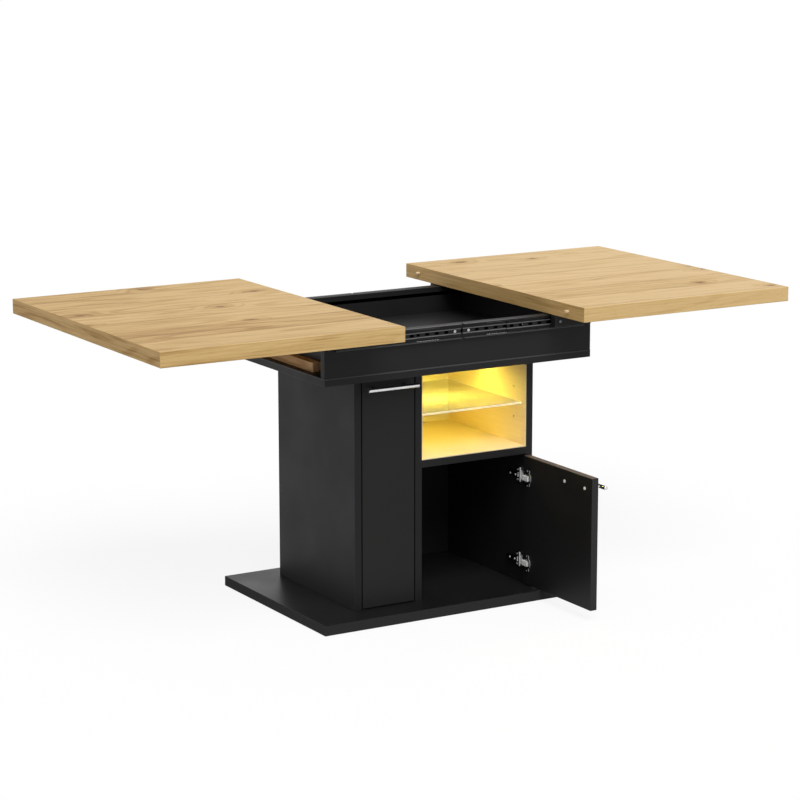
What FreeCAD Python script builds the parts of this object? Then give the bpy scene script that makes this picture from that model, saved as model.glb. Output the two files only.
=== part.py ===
import FreeCAD, Part
import os

# Extending pedestal table with a storage cabinet. Millimetres, +Z up.
# The origin is on the floor under the middle of the closed top. X runs along the top, +Y to the back.
# Rest pose: both halves of the top drawn apart, the low door open, the tall door shut.

V = FreeCAD.Vector
ORIGIN = V(0, 0, 0)

# Boards and their edges
board = 18.0
edge_round = 0.8
panel_clearance = 0.5

# Top halves
top_length = 600.0
top_width = 800.0
top_thickness = 35.0
top_round = 1.2
half_opening = 240.0
meeting_gap = 0.5
top_clearance = 2.0

# Alignment dowels between the halves
dowel_radius = 4.0
dowel_span = 670.0
dowel_depth = 20.0
dowel_reach = 10.0
dowel_tip = 1.2
dowel_clearance = 0.3
dowel_end_room = 3.0

# Base board and carcass
base_length = 732.0
base_depth = 506.0
base_thickness = 24.0
carcass_width = 492.0
carcass_front = 181.0
carcass_back = 191.0
carcass_height = 558.0
tall_bay_width = 146.0
low_bay_height = 322.5
liner = 2.0

# Doors and handles
door_gap = 3.0
door_open_angle = 90.0
door_room = 2.0
handle_length = 134.0
handle_radius = 5.0
handle_stand = 25.0
handle_screw_span = 83.0
handle_drop = 28.0
handle_edge_margin = 4.0
post_radius = 3.5
handle_end_bevel = 0.8

# Hinges
low_hinge_end_distance = 53.0
tall_hinge_end_distance = 85.0
pivot_inset = 5.0
pivot_setback = 5.5
pin_radius = 1.25
pin_running_clearance = 0.05
pin_seat_clearance = 0.02
knuckle_radius = 2.6
knuckle_height = 24.0
knuckle_middle = 11.0
knuckle_play = 0.2
knuckle_room = 0.4
pocket_skin = 2.0
leaf_thickness = 1.2
leaf_reach = 16.0
cup_radius = 13.0
cup_depth = 11.5
cup_wall = 1.2
cup_setback = 17.5
cup_rim = 1.5
cup_clearance = 0.2
flange_height = 42.0
flange_width = 17.0
flange_thickness = 1.8
flange_corner = 4.0
link_length = 17.0
link_gap = 4.7
link_rise = 5.5
link_round = 4.5
arm_length = 41.5
arm_rise = 9.0
arm_height = 12.0
arm_round = 3.0
arm_gap = 5.0
plate_height = 37.0
plate_width = 16.0
plate_thickness = 4.0
plate_corner = 3.0

# Shelves, their pins and the light over the niche
glass_thickness = 5.0
glass_height_above_shelf = 102.0
glass_setback = 17.0
glass_clearance = 1.0
shelf_setback = 26.0
tall_shelf_heights = (175.0, 355.0)
support_radius = 2.5
support_clearance = 0.05
support_depth = 8.0
support_reach = 9.0
support_inset = 53.0
support_pitch = 36.5
light_width = 16.0
light_height = 8.0
light_wall = 1.2
light_end = 1.5
light_inset = 150.0
light_clearance = 0.1
diffuser_thickness = 2.0

# Apron and tray
apron_length = 725.0
apron_depth = 501.0
apron_side_height = 95.0
bottom_lip = 0.8
tray_end_inset = 39.5
cleat_size = 22.0
cleat_end_room = 67.5
tray_floor_thickness = 9.0
bearer_end_room = 8.0
bearer_inset = 15.0

# Slides, as a section that stands out from the apron's long sides
slide_height = 34.0
slide_depth = 12.7
slide_sheet = 1.2
slide_length = 335.0
slide_middle_length = 235.0
slide_start = 3.0
fixed_reach = 9.5
fixed_lip = 1.0
rib_height = 0.8
rib_width = 2.2
rib_offset = 5.8
member_room = 0.4
inner_room = 1.0
middle_reach = 8.6
outer_ball_gap = 3.2
inner_ball_gap = 3.0
cage_clearance = 0.25
cage_side_room = 0.6
outer_cage_length = 275.0
inner_cage_length = 105.0
inner_cage_offset = 65.0
slot_radius = 3.4
slot_length = 12.0
slot_count = 13
middle_slot_count = 9

# Runners under the halves
runner_length = 520.0
runner_height = 20.0
runner_setback = 0.5
block_length = 100.0
block_height = 28.0

# Screws
screw_clearance = 0.1
long_screw_radius = 2.75
long_screw_head = 5.0
long_screw_head_height = 2.0
long_screw_sink = 3.0
long_screw_bite = 30.0
bolt_radius = 3.0
bolt_head = 6.5
bolt_head_height = 2.5
bolt_bite = 14.0
bolt_side_inset = 66.0
bolt_front_inset = 61.0
bolt_back_inset = 71.0
small_screw_radius = 1.75
small_screw_head = 3.5
small_screw_head_height = 0.9
small_screw_bite = 12.0
slide_screw_inset = 15.5
runner_screw_radius = 2.0
runner_screw_head = 3.5
runner_screw_head_height = 2.0
runner_screw_inset = 14.0
runner_screw_rise = 3.5
runner_screw_pitch = 145.0
runner_screw_count = 3
apron_screw_inset = 62.5
carcass_screw_front_inset = 61.0
carcass_screw_back_inset = 71.0
back_screw_inset = 116.0
handle_screw_radius = 2.0
handle_screw_head = 4.0
handle_screw_head_height = 2.0
handle_screw_bite = 10.0

# Levels from the floor up
base_top = base_thickness
shelf_bottom = base_top + low_bay_height
shelf_top = shelf_bottom + board
carcass_top = base_top + carcass_height
tray_bottom = carcass_top + board
apron_top = tray_bottom + apron_side_height
top_under = apron_top + top_clearance
top_level = top_under + top_thickness
slide_level = apron_top - slide_height / 2
top_board_under = carcass_top - board
niche_floor = shelf_top + liner

# Places across the pedestal
half_carcass = carcass_width / 2
bay_left = -half_carcass + board
divider_left = bay_left + tall_bay_width
divider_right = divider_left + board
bay_right = half_carcass - board
front = -carcass_front
back_inner = carcass_back - board
inner_front = front + board + door_room
travel = half_opening - meeting_gap / 2
apron_half = apron_depth / 2
tray_half = apron_half - board
tray_end = apron_length / 2 - tray_end_inset
knuckle_cut = knuckle_radius + knuckle_room


def box(x0, x1, y0, y1, z0, z1):
    """A block between two opposite corners."""
    return Part.makeBox(x1 - x0, y1 - y0, z1 - z0, V(x0, y0, z0))


def rod(start, direction, radius, length):
    """A round bar from a point along a direction."""
    return Part.makeCylinder(radius, length, start, direction)


def eased(shape, radius):
    """The shape with every edge rounded."""
    return shape.makeFillet(radius, shape.Edges)


def panel(x0, x1, y0, y1, z0, z1):
    """A board with eased edges."""
    return eased(box(x0, x1, y0, y1, z0, z1), edge_round)


def edges_along(shape, side):
    """The straight edges of a shape that run along one axis, named by its side of the bounding box."""
    return [edge for edge in shape.Edges if getattr(edge.BoundBox, side) > edge.Length / 2]


def flip_x(shape):
    """The mirror image across the middle of the table's length."""
    return shape.mirror(ORIGIN, V(1, 0, 0))


def flip_y(shape):
    """The mirror image across the middle of the table's width."""
    return shape.mirror(ORIGIN, V(0, 1, 0))


def group(shapes):
    """Several separate solids kept together."""
    return Part.makeCompound(shapes)


def screw(tip_side, direction, radius, length, head_radius, head_height):
    """A screw whose head's underside is at a point and whose shank runs along a direction."""
    shank = rod(tip_side, direction, radius, length)
    back_off = V(direction)
    back_off.multiply(-head_height)
    head = rod(tip_side.add(back_off), direction, head_radius, head_height)
    return shank.fuse(head).removeSplitter()


def screw_room(tip_side, direction, radius, length, head_radius, head_height):
    """The hole that a screw fills, with its clearance."""
    return screw(tip_side, direction, radius + screw_clearance, length + screw_clearance,
                 head_radius + screw_clearance, head_height + screw_clearance)


def long_screw_places():
    """Where the long screws go up through the base board, as points at their heads."""
    level = long_screw_sink
    across = ((-half_carcass + board / 2), (divider_left + divider_right) / 2, (half_carcass - board / 2))
    places = []
    for x in across:
        for y in (front + carcass_screw_front_inset, carcass_back - carcass_screw_back_inset):
            places.append(V(x, y, level))
    for x in (-half_carcass + back_screw_inset, half_carcass - back_screw_inset):
        places.append(V(x, carcass_back - board / 2, level))
    return places


def long_screw_length():
    """Length of a long screw's shank."""
    return base_thickness - long_screw_sink + long_screw_bite


def base_parts():
    """The base board and the screws that hold the carcass on it."""
    up = V(0, 0, 1)
    plate = panel(-base_length / 2, base_length / 2, -base_depth / 2, base_depth / 2, 0, base_thickness)
    screws = []
    for place in long_screw_places():
        plate = plate.cut(screw_room(place, up, long_screw_radius, long_screw_length(),
                                     long_screw_head, long_screw_sink))
        screws.append(screw(place, up, long_screw_radius, long_screw_length(),
                            long_screw_head, long_screw_head_height))
    return {"base_plate": plate, "carcass_screws": group(screws)}


def support_levels():
    """Levels of the niche's pin holes, with the one in use in the middle."""
    used = shelf_top + glass_height_above_shelf
    return (used - support_pitch, used, used + support_pitch)


def support_rows():
    """Front and back lines of the pin holes."""
    return (front + support_inset, back_inner - support_inset)


def support_hole(x, y, z, direction):
    """A pin hole bored from a wall's face."""
    return rod(V(x, y, z), V(direction, 0, 0), support_radius + support_clearance,
               support_depth + support_clearance)


def support_pin(x, y, z, direction):
    """A shelf pin in its hole, flat on top where it stands out of the wall."""
    start = x + direction * support_depth
    length = support_depth + support_reach
    pin = rod(V(start, y, z), V(-direction, 0, 0), support_radius, length)
    tip = x - direction * support_reach
    flat = box(min(x, tip), max(x, tip), y - support_radius, y + support_radius, z, z + support_radius)
    return pin.cut(flat)


def tall_shelf_levels():
    """Levels of the undersides of the tall bay's shelves."""
    return [base_top + height for height in tall_shelf_heights]


low_door_bottom = base_top + door_gap
low_door_top = shelf_bottom - door_gap
tall_door_top = carcass_top - door_gap
low_hinge_levels = (low_door_bottom + low_hinge_end_distance, low_door_top - low_hinge_end_distance)
tall_hinge_levels = (low_door_bottom + tall_hinge_end_distance, tall_door_top - tall_hinge_end_distance)
low_axis_x = bay_right + pivot_inset
tall_axis_x = bay_left - pivot_inset
axis_y = front + pivot_setback


def placed(shape, x, z):
    """A hinge piece moved to its door's axis."""
    moved = shape.copy()
    moved.translate(V(x, axis_y, z))
    return moved


def hinge_pocket():
    """The pocket in the right side board that holds a hinge's pin and knuckles, about the pin."""
    half = knuckle_height / 2 + knuckle_room
    return box(-pivot_inset, knuckle_cut, pocket_skin - pivot_setback, leaf_reach + knuckle_room, -half, half)


def carcass_parts():
    """Sides, divider, back, fixed shelf and top board of the pedestal."""
    up = V(0, 0, 1)
    side_left = panel(-half_carcass, bay_left, front, carcass_back, base_top, carcass_top)
    side_right = panel(bay_right, half_carcass, front, carcass_back, base_top, carcass_top)
    divider = panel(divider_left, divider_right, front, back_inner, base_top, carcass_top)
    top_space = box(divider_left, divider_right, inner_front, back_inner, top_board_under, carcass_top)
    divider = divider.cut(top_space)
    back = panel(bay_left, bay_right, back_inner, carcass_back, base_top, carcass_top)
    shelf = panel(divider_right, bay_right, front, back_inner, shelf_bottom, shelf_top)
    top_board = panel(bay_left, bay_right, inner_front, back_inner, top_board_under, carcass_top)
    for place in long_screw_places():
        room = screw_room(place, up, long_screw_radius, long_screw_length(), long_screw_head,
                          long_screw_sink)
        side_left = side_left.cut(room)
        side_right = side_right.cut(room)
        divider = divider.cut(room)
        back = back.cut(room)
    for place in bolt_places():
        top_board = top_board.cut(bolt_room(place))
    for y in support_rows():
        for z in support_levels():
            side_right = side_right.cut(support_hole(bay_right, y, z, 1))
            divider = divider.cut(support_hole(divider_right, y, z, -1))
        for z in tall_shelf_levels():
            side_left = side_left.cut(support_hole(bay_left, y, z, -1))
            divider = divider.cut(support_hole(divider_left, y, z, 1))
    pocket = hinge_pocket()
    for level in low_hinge_levels:
        side_right = side_right.cut(placed(pocket, low_axis_x, level))
    for level in tall_hinge_levels:
        side_left = side_left.cut(placed(flip_x(pocket), tall_axis_x, level))
    return {"side_left": side_left, "side_right": side_right, "divider": divider, "back_panel": back,
            "fixed_shelf": shelf, "top_board": top_board}


def niche_parts():
    """The niche's light lining."""
    lining_top = top_board_under
    floor = box(divider_right, bay_right, front + edge_round, back_inner, shelf_top, niche_floor)
    left = box(divider_right, divider_right + liner, front + edge_round, back_inner, niche_floor, lining_top)
    right = box(bay_right - liner, bay_right, front + edge_round, back_inner, niche_floor, lining_top)
    back = box(divider_right + liner, bay_right - liner, back_inner - liner, back_inner, niche_floor, lining_top)
    for y in support_rows():
        for z in support_levels():
            left = left.cut(support_hole(divider_right + liner, y, z, -1))
            right = right.cut(support_hole(bay_right - liner, y, z, 1))
    return {"niche_liner_floor": floor, "niche_liner_left": left, "niche_liner_right": right,
            "niche_liner_back": back}


def shelf_parts():
    """The glass shelf, the tall bay's shelves and the pins that carry them."""
    used = support_levels()[1]
    glass = eased(box(divider_right + liner + glass_clearance, bay_right - liner - glass_clearance,
                      front + glass_setback, back_inner - liner - glass_clearance,
                      used, used + glass_thickness), edge_round)
    pins = []
    shelves = []
    for y in support_rows():
        pins.append(support_pin(divider_right + liner, y, used, -1))
        pins.append(support_pin(bay_right - liner, y, used, 1))
        for z in tall_shelf_levels():
            pins.append(support_pin(bay_left, y, z, -1))
            pins.append(support_pin(divider_left, y, z, 1))
    for z in tall_shelf_levels():
        shelves.append(panel(bay_left + panel_clearance, divider_left - panel_clearance,
                             front + shelf_setback, back_inner - panel_clearance, z, z + board))
    return {"glass_shelf": glass, "tall_shelves": group(shelves), "shelf_pins": group(pins)}


def light_parts():
    """The light channel under the top board and the diffuser that closes it."""
    x0 = divider_right + liner + panel_clearance
    x1 = bay_right - liner - panel_clearance
    y0 = front + light_inset
    y1 = y0 + light_width
    z0 = top_board_under - light_height
    channel = box(x0, x1, y0, y1, z0, top_board_under)
    channel = channel.cut(box(x0 + light_end, x1 - light_end, y0 + light_wall, y1 - light_wall,
                              z0, top_board_under - light_wall))
    side = light_wall + light_clearance
    end = light_end + light_clearance
    diffuser = box(x0 + end, x1 - end, y0 + side, y1 - side, z0, z0 + diffuser_thickness)
    return {"light_channel": channel, "light_diffuser": diffuser}


def bolt_places():
    """Where the bolts go down from the tray into the carcass, as points under their heads."""
    across = half_carcass - bolt_side_inset
    rows = (front + bolt_front_inset, carcass_back - bolt_back_inset)
    return [V(x, y, tray_bottom) for x in (-across, across) for y in rows]


def bolt_room(place):
    """The hole for one bolt."""
    return screw_room(place, V(0, 0, -1), bolt_radius, board + bolt_bite, bolt_head, bolt_head_height)


def apron_screw_places():
    """Where the screws go up into the apron's long sides, as points at their heads."""
    level = carcass_top + long_screw_sink
    across = tray_half + board / 2
    end = apron_length / 2 - apron_screw_inset
    return [V(x, y, level) for x in (-end, 0, end) for y in (-across, across)]


def apron_screw_length():
    """Length of the shank of a screw in the apron's long sides."""
    return board - long_screw_sink + long_screw_bite


def slide_screw_xs():
    """Places along a fixed slide member of its screws."""
    first = slide_start + slide_screw_inset
    last = slide_start + slide_length - slide_screw_inset
    return (first, (first + last) / 2, last)


def slide_screw_args(x):
    """The screw through a fixed slide member at one place, on the front right slide."""
    place = V(x, -apron_half - slide_sheet, slide_level)
    return (place, V(0, 1, 0), small_screw_radius, slide_sheet + small_screw_bite,
            small_screw_head, small_screw_head_height)


def apron_parts():
    """The apron's boards with the tray inside them."""
    up = V(0, 0, 1)
    half = apron_length / 2
    bottom_half = apron_half + bottom_lip
    bottom = panel(-half, half, -bottom_half, bottom_half, carcass_top, tray_bottom)
    front_side = panel(-half, half, -apron_half, -tray_half, tray_bottom, apron_top)
    for x in slide_screw_xs():
        hole = screw_room(*slide_screw_args(x))
        front_side = front_side.cut(hole)
        front_side = front_side.cut(flip_x(hole))
    back_side = flip_y(front_side)
    end_right = panel(tray_end - board, tray_end, -tray_half, tray_half, tray_bottom, apron_top)
    cleat_half = tray_half - cleat_end_room
    cleat = panel(tray_end, tray_end + cleat_size, -cleat_half, cleat_half,
                  tray_bottom, tray_bottom + cleat_size)
    floor_half = tray_end - board - panel_clearance
    floor_level = tray_bottom + cleat_size
    floor = panel(-floor_half, floor_half, -tray_half + panel_clearance, tray_half - panel_clearance,
                  floor_level, floor_level + tray_floor_thickness)
    bearer_half = tray_half - bearer_end_room
    bearer_x = tray_end - board - bearer_inset
    bearers = []
    for x in (-bearer_x, 0, bearer_x):
        bearers.append(panel(x - cleat_size / 2, x + cleat_size / 2, -bearer_half, bearer_half,
                             tray_bottom, floor_level))
    bolts = []
    for place in bolt_places():
        bottom = bottom.cut(bolt_room(place))
        bolts.append(screw(place, V(0, 0, -1), bolt_radius, board + bolt_bite, bolt_head, bolt_head_height))
    screws = []
    for place in apron_screw_places():
        room = screw_room(place, up, long_screw_radius, apron_screw_length(), long_screw_head,
                          long_screw_sink)
        bottom = bottom.cut(room)
        front_side = front_side.cut(room)
        back_side = back_side.cut(room)
        screws.append(screw(place, up, long_screw_radius, apron_screw_length(), long_screw_head,
                            long_screw_head_height))
    return {"apron_bottom": bottom, "apron_front": front_side, "apron_back": back_side,
            "tray_end_left": flip_x(end_right), "tray_end_right": end_right,
            "end_cleats": group([flip_x(cleat), cleat]), "tray_floor": floor,
            "tray_bearers": group(bearers), "apron_bolts": group(bolts), "apron_screws": group(screws)}


# Half heights of the slide members, from the fixed one in to the inner one
fixed_half = slide_height / 2
middle_half = fixed_half - slide_sheet - outer_ball_gap
inner_half = middle_half - slide_sheet - inner_ball_gap
middle_web = slide_sheet + rib_height + member_room
inner_start = middle_web + slide_sheet + inner_room


def strip(x0, x1, out0, out1, low, high):
    """A strip of the front right slide: out is the distance from the apron, low and high from its middle."""
    return box(x0, x1, -apron_half - out1, -apron_half - out0, slide_level + low, slide_level + high)


def both_flanges(x0, x1, out0, out1, low, high):
    """The same strip above and below the slide's middle."""
    return [strip(x0, x1, out0, out1, low, high), strip(x0, x1, out0, out1, -high, -low)]


def joined(shapes):
    """Strips joined into one sheet-metal section."""
    return shapes[0].multiFuse(shapes[1:]).removeSplitter()


def slot_xs():
    """Places of the slots along a fixed slide member, clear of its screws."""
    pitch = slide_length / slot_count
    places = [slide_start + pitch * (index + 0.5) for index in range(slot_count)]
    room = small_screw_head + slot_length / 2
    return [x for x in places if min(abs(x - used) for used in slide_screw_xs()) > room]


def slot(x, out):
    """A round-ended slot through a slide's web that starts at a distance from the apron."""
    straight = slot_length / 2 - slot_radius
    outward = V(0, -1, 0)
    middle = strip(x - straight, x + straight, out, out + slide_sheet, -slot_radius, slot_radius)
    ends = [rod(V(place, -apron_half - out, slide_level), outward, slot_radius, slide_sheet)
            for place in (x - straight, x + straight)]
    return joined([middle] + ends)


def fixed_member():
    """The fixed member of the front right slide: a channel with two ribs and a row of slots."""
    x0 = slide_start
    x1 = slide_start + slide_length
    shapes = [strip(x0, x1, 0, slide_sheet, -fixed_half, fixed_half)]
    shapes += both_flanges(x0, x1, 0, fixed_reach, fixed_half - slide_sheet, fixed_half)
    shapes += both_flanges(x0, x1, fixed_reach - slide_sheet, fixed_reach,
                           fixed_half - slide_sheet - fixed_lip, fixed_half)
    shapes += both_flanges(x0, x1, 0, slide_sheet + rib_height,
                           rib_offset - rib_width / 2, rib_offset + rib_width / 2)
    member = joined(shapes)
    for x in slot_xs():
        member = member.cut(slot(x, 0))
    for x in slide_screw_xs():
        member = member.cut(screw_room(*slide_screw_args(x)))
    return member


def middle_member():
    """The middle member of the front right slide, drawn out by half the travel."""
    x0 = slide_start + travel / 2
    x1 = x0 + slide_middle_length
    face = middle_web + slide_sheet
    shapes = [strip(x0, x1, middle_web, face, -middle_half, middle_half)]
    shapes += both_flanges(x0, x1, middle_web, middle_reach, middle_half - slide_sheet, middle_half)
    shapes += both_flanges(x0, x1, middle_web, face + rib_height,
                           rib_offset - rib_width / 2, rib_offset + rib_width / 2)
    member = joined(shapes)
    pitch = slide_middle_length / middle_slot_count
    for index in range(middle_slot_count):
        member = member.cut(slot(x0 + pitch * (index + 0.5), middle_web))
    return member


def inner_member():
    """The inner member of the front right slide, drawn out by the whole travel."""
    x0 = slide_start + travel
    x1 = x0 + slide_length
    shapes = [strip(x0, x1, slide_depth - slide_sheet, slide_depth, -inner_half, inner_half)]
    shapes += both_flanges(x0, x1, inner_start, slide_depth, inner_half - slide_sheet, inner_half)
    member = joined(shapes)
    for args in runner_screw_args():
        member = member.cut(screw_room(*args))
    return member


def outer_cages():
    """Ball cages between the fixed and middle members, drawn out by a quarter of the travel."""
    x0 = slide_start + travel / 4
    x1 = x0 + outer_cage_length
    low = middle_half + cage_clearance
    high = fixed_half - slide_sheet - cage_clearance
    return both_flanges(x0, x1, middle_web + cage_side_room, fixed_reach - slide_sheet - cage_side_room,
                        low, high)


def inner_cages():
    """Ball cages between the middle and inner members, drawn out by three quarters of the travel."""
    x0 = slide_start + inner_cage_offset + travel * 3 / 4
    x1 = x0 + inner_cage_length
    low = inner_half + cage_clearance
    high = middle_half - slide_sheet - cage_clearance
    return both_flanges(x0, x1, inner_start + cage_side_room, middle_reach, low, high)


def runner_start():
    """Where a right-hand runner begins, just behind its half's inner edge."""
    return half_opening + runner_setback


def runner_screw_args():
    """The screws through the front right runner into the slide's inner member."""
    face = -apron_half - slide_depth - board
    shank = board + slide_sheet
    level = slide_level + runner_screw_rise
    args = []
    for index in range(runner_screw_count):
        x = runner_start() + runner_screw_inset + index * runner_screw_pitch
        args.append((V(x, face, level), V(0, 1, 0), runner_screw_radius, shank,
                     runner_screw_head, runner_screw_head_height))
    return args


def runner():
    """The front right runner: a batten with a deeper block at its inner end."""
    near = -apron_half - slide_depth
    far = near - board
    x0 = runner_start()
    batten = box(x0, x0 + runner_length, far, near, top_under - runner_height, top_under)
    block = box(x0, x0 + block_length, far, near, top_under - block_height, top_under)
    shape = eased(batten.fuse(block).removeSplitter(), edge_round)
    for args in runner_screw_args():
        shape = shape.cut(screw_room(*args))
    return shape


def slide_parts():
    """The four slides with their cages, runners and screws."""
    parts = {}
    fixed = fixed_member()
    middle = middle_member()
    inner = inner_member()
    batten = runner()
    drawn = [screw(*args) for args in runner_screw_args()]
    held = [screw(*slide_screw_args(x)) for x in slide_screw_xs()]
    held += [flip_y(shape) for shape in held]
    parts["slide_screws"] = group(held + [flip_x(shape) for shape in held])
    rows = {"slide_fixed": [fixed, flip_y(fixed)], "slide_middle": [middle, flip_y(middle)],
            "slide_inner": [inner, flip_y(inner)],
            "runner_screws": drawn + [flip_y(shape) for shape in drawn]}
    for name, cages in (("outer_cages", outer_cages()), ("inner_cages", inner_cages())):
        rows[name] = cages + [flip_y(shape) for shape in cages]
    for name, shapes in rows.items():
        parts[name + "_right"] = group(shapes)
        parts[name + "_left"] = group([flip_x(shape) for shape in shapes])
    parts["runner_right_front"] = batten
    parts["runner_right_back"] = flip_y(batten)
    parts["runner_left_front"] = flip_x(batten)
    parts["runner_left_back"] = flip_x(flip_y(batten))
    return parts


def top_parts():
    """The two halves of the top and the dowels that line them up."""
    level = top_under + top_thickness / 2
    right = eased(box(half_opening, half_opening + top_length, -top_width / 2, top_width / 2,
                      top_under, top_level), top_round)
    left = flip_x(right)
    dowels = []
    for y in (-dowel_span / 2, dowel_span / 2):
        start = V(half_opening + dowel_depth, y, level)
        toward = V(-1, 0, 0)
        dowel = rod(start, toward, dowel_radius, dowel_depth + dowel_reach)
        tip = [edge for edge in dowel.Edges if edge.BoundBox.XMax < half_opening]
        dowels.append(dowel.makeChamfer(dowel_tip, tip))
        right = right.cut(rod(start, toward, dowel_radius, dowel_depth))
        left = left.cut(rod(V(-half_opening, y, level), toward, dowel_radius + dowel_clearance,
                            dowel_reach + dowel_end_room))
    return {"top_left": left, "top_right": right, "alignment_dowels": group(dowels)}


def handle_screw_args(x, y, z):
    """The screw from a door's inner face into a handle's post, at one post."""
    return (V(x, y, z), V(0, -1, 0), handle_screw_radius, board + handle_screw_bite,
            handle_screw_head, handle_screw_head_height)


def handle(middle_x, z):
    """A bar handle with two posts, standing in front of a closed door."""
    bar_y = front - handle_stand
    shape = rod(V(middle_x - handle_length / 2, bar_y, z), V(1, 0, 0), handle_radius, handle_length)
    ends = [edge for edge in shape.Edges if edge.BoundBox.XLength < handle_end_bevel]
    shape = shape.makeChamfer(handle_end_bevel, ends)
    for x in (middle_x - handle_screw_span / 2, middle_x + handle_screw_span / 2):
        shape = shape.fuse(rod(V(x, front, z), V(0, -1, 0), post_radius, handle_stand))
    shape = shape.removeSplitter()
    for x in (middle_x - handle_screw_span / 2, middle_x + handle_screw_span / 2):
        shape = shape.cut(screw_room(*handle_screw_args(x, front + board, z)))
    return shape


def hinge_arm():
    """The fixed half of a hinge for a door hung on the right, about its own pin."""
    wall = -pivot_inset
    half = knuckle_height / 2
    start = leaf_reach - leaf_thickness
    arm_start = leaf_reach + arm_gap
    up = V(0, 0, 1)
    gap_half = knuckle_middle / 2 + knuckle_play
    leaf = box(knuckle_radius - leaf_thickness, knuckle_radius, 0, leaf_reach, -half, half)
    leaf = leaf.cut(box(-knuckle_cut, knuckle_radius, -knuckle_cut, knuckle_cut, -gap_half, gap_half))
    step = box(wall - plate_thickness, knuckle_radius, start, leaf_reach, -half, half)
    arm = box(wall - arm_rise, wall, arm_start, arm_start + arm_length, -arm_height / 2, arm_height / 2)
    top_edges = [edge for edge in edges_along(arm, "YLength") if edge.BoundBox.XMax < wall - arm_rise / 2]
    arm = arm.makeFillet(arm_round, top_edges)
    plate = box(wall - plate_thickness, wall, start, start + plate_width, -plate_height / 2, plate_height / 2)
    plate = plate.makeFillet(plate_corner, edges_along(plate, "XLength"))
    shape = leaf.multiFuse([step, arm, plate])
    for level in (-half, gap_half):
        shape = shape.fuse(rod(V(0, 0, level), up, knuckle_radius, half - gap_half))
    bore = rod(V(0, 0, -half), up, pin_radius + pin_seat_clearance, knuckle_height)
    return shape.removeSplitter().cut(bore)


def hinge_cup():
    """The door's half of a hinge: knuckle, bent leaf, flange, cup and the link across the cup."""
    centre = -pivot_inset - door_gap - cup_setback
    face = board - pivot_setback
    rise = face + flange_thickness
    bottom = face - cup_depth + cup_wall
    half = knuckle_middle / 2
    bend = leaf_thickness - knuckle_radius
    up = V(0, 0, 1)
    inward = V(0, 1, 0)
    wings = box(centre - flange_width / 2, centre + flange_width / 2, face, rise,
                -flange_height / 2, flange_height / 2)
    wings = wings.makeFillet(flange_corner, edges_along(wings, "YLength"))
    rim = rod(V(centre, face, 0), inward, cup_radius + cup_rim, flange_thickness)
    bowl = rod(V(centre, face - cup_depth, 0), inward, cup_radius, cup_depth)
    cup = wings.multiFuse([rim, bowl])
    cup = cup.cut(rod(V(centre, bottom, 0), inward, cup_radius - cup_wall, rise - bottom))
    post = box(centre - link_length / 2, centre + link_length / 2, bottom, rise, -half, half)
    link = box(centre - link_length / 2, -pivot_inset - link_gap, face, rise + link_rise, -half, half)
    crown = [edge for edge in edges_along(link, "ZLength") if edge.BoundBox.YMin > rise]
    link = link.makeFillet(link_round, crown)
    strap = box(centre, bend, face, rise, -half, half)
    leaf = box(-knuckle_radius, bend, 0, rise, -half, half)
    knuckle = rod(V(0, 0, -half), up, knuckle_radius, knuckle_middle)
    shape = cup.multiFuse([post, link, strap, leaf, knuckle]).removeSplitter()
    return shape.cut(rod(V(0, 0, -half), up, pin_radius + pin_running_clearance, knuckle_middle))


def hinge_pin():
    """A hinge's pin about its own middle."""
    return rod(V(0, 0, -knuckle_height / 2), V(0, 0, 1), pin_radius, knuckle_height)


def cup_bore(axis_x, level, side):
    """The round recess in a door for a hinge's cup; side is 1 for a door hung on the right."""
    x = axis_x - side * (pivot_inset + door_gap + cup_setback)
    depth = cup_depth + cup_clearance
    return rod(V(x, front + board - depth, level), V(0, 1, 0), cup_radius + cup_clearance, depth)


def door_board(x0, x1, z0, z1, axis_x, side, levels, handle_x, handle_z):
    """A closed door with its recesses for hinges and handle screws."""
    door = panel(x0, x1, front, front + board, z0, z1)
    for level in levels:
        door = door.cut(cup_bore(axis_x, level, side))
    for x in (handle_x - handle_screw_span / 2, handle_x + handle_screw_span / 2):
        door = door.cut(screw_room(*handle_screw_args(x, front + board, handle_z)))
    return door


def handle_screws(handle_x, handle_z):
    """A handle's two screws."""
    xs = (handle_x - handle_screw_span / 2, handle_x + handle_screw_span / 2)
    return group([screw(*handle_screw_args(x, front + board, handle_z)) for x in xs])


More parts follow.
